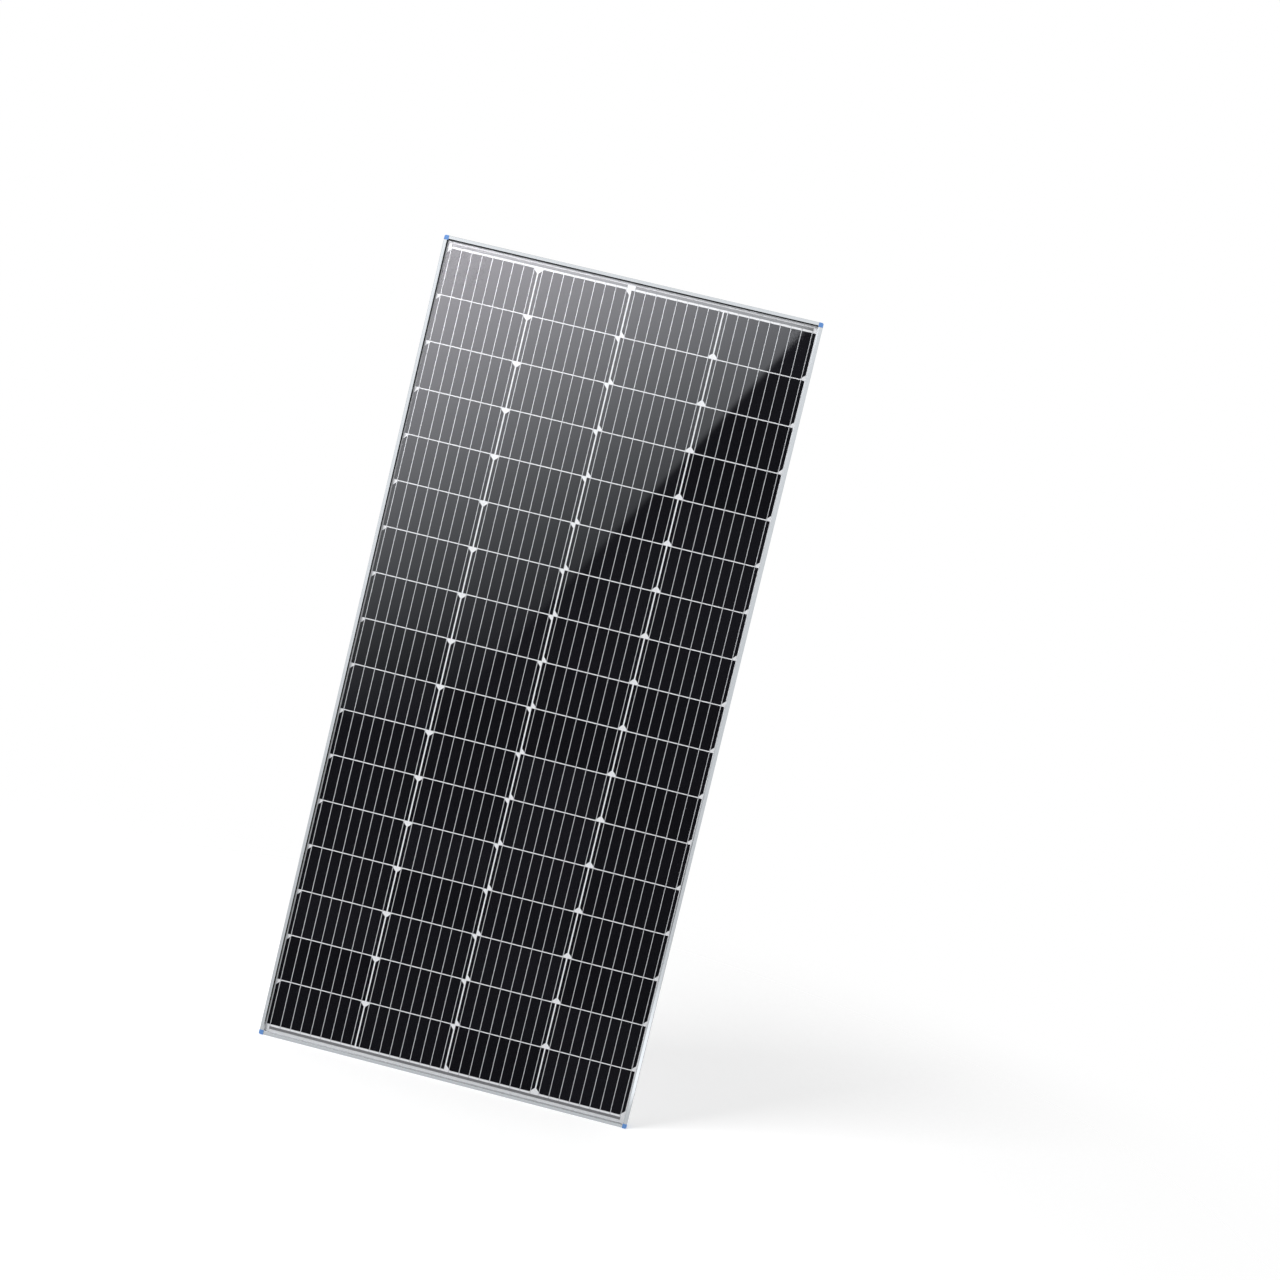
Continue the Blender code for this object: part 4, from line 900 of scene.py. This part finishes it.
class SOLAR_OT_stage(bpy.types.Operator):
    """Set the camera, the pale floor, the lamps and the cards that the glass reflects"""

    bl_idname = "solar_panel.stage"
    bl_label = "Set Stage"

    def execute(self, context):
        scene = context.scene
        scene.view_settings.view_transform = "Standard"
        self.add_camera(scene)
        self.add_world(scene)
        self.add_floor()
        self.add_glow_card()
        self.add_rail_cards()
        self.add_flags()
        key = self.add_lamp(scene, "key_lamp", *KEY_LAMP)
        back = self.add_lamp(scene, "back_lamp", *BACK_LAMP)
        # The key lamp reaches the border behind the glass past the lips of the rails
        key.light_linking.blocker_collection = self.leave_out("key_lamp_blockers", RAILS)
        # The back lamp would throw a shadow towards the camera, so the floor doesn't take its light
        left_out = self.leave_out("back_lamp_receivers", ("paper_floor",))
        back.light_linking.receiver_collection = left_out
        return {"FINISHED"}

    def add_camera(self, scene):
        """A camera whose lens is sensor width times focal pixels over frame pixels."""
        data = bpy.data.cameras.new("photo_camera")
        data.sensor_width = SENSOR_MM
        data.lens = SENSOR_MM * FOCAL_PIXELS / FRAME_PIXELS
        data.clip_start = 0.01
        camera = bpy.data.objects.new("photo_camera", data)
        axes = np.array((CAMERA_RIGHT, CAMERA_UP, -np.array(CAMERA_AHEAD))).T
        camera.matrix_world = Matrix.Translation(CAMERA_PLACE) @ Matrix(axes.tolist()).to_4x4()
        scene.collection.objects.link(camera)
        scene.camera = camera

    def add_world(self, scene):
        """White where the camera, a reflection or glass sees it, and dimmer as a lamp."""
        world = bpy.data.worlds.new("white_studio")
        world.use_nodes = True
        tree = world.node_tree
        tree.nodes.clear()
        seen = seen_rays(tree)
        level = map_range(tree, seen, target=(0.5, 1.0))
        sky = add_node(
            tree, "ShaderNodeBackground", {"Color": (1.0, 1.0, 1.0, 1.0), "Strength": level}
        )
        add_node(tree, "ShaderNodeOutputWorld", {"Surface": sky.outputs[0]})
        scene.world = world

    def add_floor(self):
        """A white floor that fades into the white world away from the panel."""
        material, tree, place = new_finish("white paper sweep")
        seen = seen_rays(tree)
        lift = calculate(tree, "MULTIPLY", seen, 0.42)
        paper = add_node(tree, "ShaderNodeBsdfDiffuse", {"Color": linear("e8e8e8")}).outputs[0]
        glow = add_node(tree, "ShaderNodeEmission", {"Strength": lift}).outputs[0]
        lit = add_node(tree, "ShaderNodeAddShader", {0: paper, 1: glow}).outputs[0]
        away = add_node(tree, "ShaderNodeVectorMath", {0: place}, operation="LENGTH").outputs["Value"]
        fade = map_range(tree, away, (0.9, 2.2), kind="SMOOTHSTEP")
        clear = add_node(tree, "ShaderNodeBsdfTransparent").outputs[0]
        mixed = add_node(tree, "ShaderNodeMixShader", {0: fade, 1: lit, 2: clear}).outputs[0]
        add_node(tree, "ShaderNodeOutputMaterial", {"Surface": mixed})
        across = (-PAPER_REACH, PAPER_REACH)
        self.add_plane("paper_floor", self.lying(across, across, PAPER_Z), material)

    def add_glow_card(self):
        """A card that only the glass and what is behind it reflect: a soft glow at the upper left.

        It hangs behind the camera where the panel mirrors it. A panel point p shows the card point
        m + s (p - m), where m is the camera mirrored in the glass. The glow's square root falls off
        evenly to the right and downwards, and ends along a slanting edge.
        """
        glass_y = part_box("front_glass")[0].y
        mirror = np.array(CAMERA_PLACE) * (1, -1, 1) + (0, 2 * glass_y, 0)
        scale = (mirror[1] - GLOW_Y) / (mirror[1] - glass_y)
        material, tree, place = new_finish("reflected glow card")
        fall = np.array((-GLOW_FALL[0], GLOW_FALL[1])) / scale
        still = mirror[[0, 2]] * (1 - 1 / scale)
        right, down = still[0] - GLOW_PLACE[0], GLOW_PLACE[1] - still[1]
        level = GLOW_ROOT - GLOW_FALL[0] * right - GLOW_FALL[1] * down
        slope = add_node(
            tree, "ShaderNodeVectorMath", {0: place, 1: (fall[0], 0, fall[1])}, operation="DOT_PRODUCT"
        ).outputs["Value"]
        root = calculate(tree, "MAXIMUM", calculate(tree, "ADD", slope, level), 0.0)
        glow = calculate(tree, "POWER", root, 2.0)
        edge = np.array((-1.0, EDGE_SLANT)) / scale
        start = still[0] - EDGE_SLANT * (still[1] - EDGE_Z)
        side = add_node(
            tree, "ShaderNodeVectorMath", {0: place, 1: (edge[0], 0, edge[1])}, operation="DOT_PRODUCT"
        ).outputs["Value"]
        inside = map_range(tree, side, (start - EDGE_SOFT, start + EDGE_SOFT), kind="SMOOTHSTEP")
        lit = calculate(tree, "MULTIPLY", glow, inside)
        power = calculate(tree, "MULTIPLY", lit, 1 / GLASS_REFLECTANCE)
        tint = mix_colours(tree, root, linear("f2fbff"), linear("fff6ff"))
        shader = add_node(tree, "ShaderNodeEmission", {"Color": tint, "Strength": power}).outputs[0]
        add_node(tree, "ShaderNodeOutputMaterial", {"Surface": shader})
        corners = self.standing(GLOW_X, GLOW_Y, (FLOOR_Z, GLOW_TOP))
        behind_glass = ("front_glass", "cell_sheet", "ribbons_left", "ribbons_right", "bus_bottom")
        self.add_plane("glow_card", corners, material, behind_glass)

    def add_rail_cards(self):
        """White cards in front of the lips and on the floor, each seen in its own rail alone.

        A card's light grows evenly with height from 0.85 to 1.15. Each card lies a little off the
        others, as cards in one plane would hide one another.
        """
        soft, tree, place = new_finish("white card for the rails")
        height = add_node(tree, "ShaderNodeSeparateXYZ", {"Vector": place}).outputs["Z"]
        level = map_range(tree, height, (-0.74, 0.74), (0.85, 1.15))
        clear = add_node(tree, "ShaderNodeBsdfTransparent").outputs[0]
        shine = add_node(tree, "ShaderNodeEmission", {"Strength": level}).outputs[0]
        both = add_node(tree, "ShaderNodeAddShader", {0: clear, 1: shine}).outputs[0]
        add_node(tree, "ShaderNodeOutputMaterial", {"Surface": both})
        for i, (rail, x, z) in enumerate((
            ("frame_left", (-0.46, -0.295), (FLOOR_Z, 1.0)),
            ("frame_right", (0.29, 0.46), (FLOOR_Z, 1.0)),
            ("frame_top", (-0.6, 0.6), (0.68, 0.92)),
            ("frame_bottom", (-0.6, 0.6), (FLOOR_Z, -0.68)),
        )):
            corners = self.standing(x, -0.2 - 0.002 * i, z)
            self.add_plane(rail + "_card", corners, soft, (rail,))
        for i, (rail, x, near) in enumerate((
            ("frame_left", (-0.46, -0.295), -0.21),
            ("frame_right", (-1.2, 0.46), -1.0),
            ("frame_bottom", (-0.6, 0.6), -0.21),
        )):
            corners = self.lying(x, (near, CARD_FRONT), FLOOR_Z + CARD_STEP * (i + 1))
            self.add_plane(rail + "_floor_card", corners, soft, (rail,))
        # The outer wall on the left looks past the lips' cards, so it has one more
        z = FLOOR_Z + 4 * CARD_STEP
        corners = [
            (-0.37, CARD_FRONT, z), (-FLAG_REACH, CARD_FRONT, z), (-FLAG_REACH, -3.5, z),
            (-2.3, -3.5, z),
        ]
        self.add_plane("frame_left_side_card", corners, soft, ("frame_left",))

    def add_flags(self):
        """Black flags that only reflections see: on the floor, at the right and behind the glow.

        The floor's flag pales to white at the sides, by a smooth step of the distance from x = 0.
        """
        dark, tree, _ = new_finish("black flag")
        matt = add_node(
            tree, "ShaderNodeBsdfDiffuse", {"Color": (0.002, 0.002, 0.002, 1.0)}
        ).outputs[0]
        add_node(tree, "ShaderNodeOutputMaterial", {"Surface": matt})
        black, tree, place = new_finish("black flag that pales to the sides")
        across = add_node(tree, "ShaderNodeSeparateXYZ", {"Vector": place}).outputs["X"]
        far = calculate(tree, "ABSOLUTE", across)
        fade = map_range(tree, far, (1.4, FLAG_REACH), kind="SMOOTHSTEP")
        grey = add_node(tree, "ShaderNodeEmission", {"Strength": fade}).outputs[0]
        add_node(tree, "ShaderNodeOutputMaterial", {"Surface": grey})
        corners = self.lying((-FLAG_REACH, FLAG_REACH), (CARD_FRONT, GLOW_Y), FLOOR_Z)
        self.add_plane("floor_flag", corners, black, ())
        corners = [
            (FLAG_X, -0.3, FLOOR_Z), (FLAG_X, GLOW_Y, FLOOR_Z), (FLAG_X, GLOW_Y, FLAG_TOP),
            (FLAG_X, -0.3, FLAG_TOP),
        ]
        self.add_plane("side_flag", corners, dark, ())
        corners = self.standing((0.9, FLAG_X), GLOW_Y - 0.05, (FLOOR_Z, FLAG_TOP))
        self.add_plane("back_flag", corners, dark, ())

    def standing(self, x, y, z):
        """Corners of an upright rectangle between two x and two z."""
        return [(x[0], y, z[0]), (x[1], y, z[0]), (x[1], y, z[1]), (x[0], y, z[1])]

    def lying(self, x, y, z):
        """Corners of a flat rectangle between two x and two y."""
        return [(x[0], y[0], z), (x[1], y[0], z), (x[1], y[1], z), (x[0], y[1], z)]

    def add_plane(self, name, corners, material, seen_in=None):
        """A flat card. With seen_in, only reflections show it, and if that has nodes, only theirs do."""
        mesh = bpy.data.meshes.new(name)
        mesh.from_pydata(corners, [], [(0, 1, 2, 3)])
        mesh.materials.append(material)
        plane = bpy.data.objects.new(name, mesh)
        bpy.context.scene.collection.objects.link(plane)
        if seen_in is not None:
            plane.visible_camera = False
            plane.visible_diffuse = False
            plane.visible_transmission = False
            plane.visible_shadow = False
        if seen_in:
            receivers = bpy.data.collections.new(name + "_receivers")
            for node in seen_in:
                receivers.objects.link(frame["nodes"][node])
            plane.light_linking.receiver_collection = receivers

    def leave_out(self, name, objects):
        """A collection that takes these objects out of a lamp's receivers or blockers."""
        group = bpy.data.collections.new(name)
        for i, item in enumerate(objects):
            group.objects.link(bpy.data.objects[item])
            group.collection_objects[i].light_linking.link_state = "EXCLUDE"
        return group

    def add_lamp(self, scene, name, place, size, power):
        """A square lamp that faces a point 0.1 m above the panel's middle."""
        data = bpy.data.lights.new(name, "AREA")
        data.energy = power
        data.size = size
        lamp = bpy.data.objects.new(name, data)
        ahead = Vector((0, 0, 0.1)) - Vector(place)
        turn = ahead.to_track_quat("-Z", "Y").to_matrix().to_4x4()
        lamp.matrix_world = Matrix.Translation(place) @ turn
        scene.collection.objects.link(lamp)
        return lamp


class SOLAR_PT_sidebar(bpy.types.Panel):
    """The sidebar tab with every step"""

    bl_idname = "SOLAR_PT_sidebar"
    bl_label = "Solar Panel"
    bl_space_type = "VIEW_3D"
    bl_region_type = "UI"
    bl_category = "Solar Panel"

    def draw(self, context):
        layout = self.layout
        for group in (context.scene.solar_sizes, context.scene.solar_colours):
            for key in type(group).__annotations__:
                layout.prop(group, key)
        for step in STEPS:
            layout.operator(step.bl_idname)


STEPS = (
    SOLAR_OT_stage,
    SOLAR_OT_connectors,
    SOLAR_OT_leads,
    SOLAR_OT_frame,
    SOLAR_OT_laminate,
    SOLAR_OT_junction_box,
    SOLAR_OT_box_wiring,
)
CLASSES = (SolarSizes, SolarColours, *STEPS, SOLAR_PT_sidebar)


def register():
    for item in CLASSES:
        bpy.utils.register_class(item)
    bpy.types.Scene.solar_sizes = PointerProperty(type=SolarSizes)
    bpy.types.Scene.solar_colours = PointerProperty(type=SolarColours)


def unregister():
    del bpy.types.Scene.solar_colours
    del bpy.types.Scene.solar_sizes
    for item in reversed(CLASSES):
        bpy.utils.unregister_class(item)


def main():
    register()
    bpy.ops.solar_panel.stage()
    bpy.ops.solar_panel.connectors()
    bpy.ops.solar_panel.leads()
    bpy.ops.solar_panel.frame()
    bpy.ops.solar_panel.laminate()
    bpy.ops.solar_panel.junction_box()
    bpy.ops.solar_panel.box_wiring()


if __name__ == "__main__":
    main()
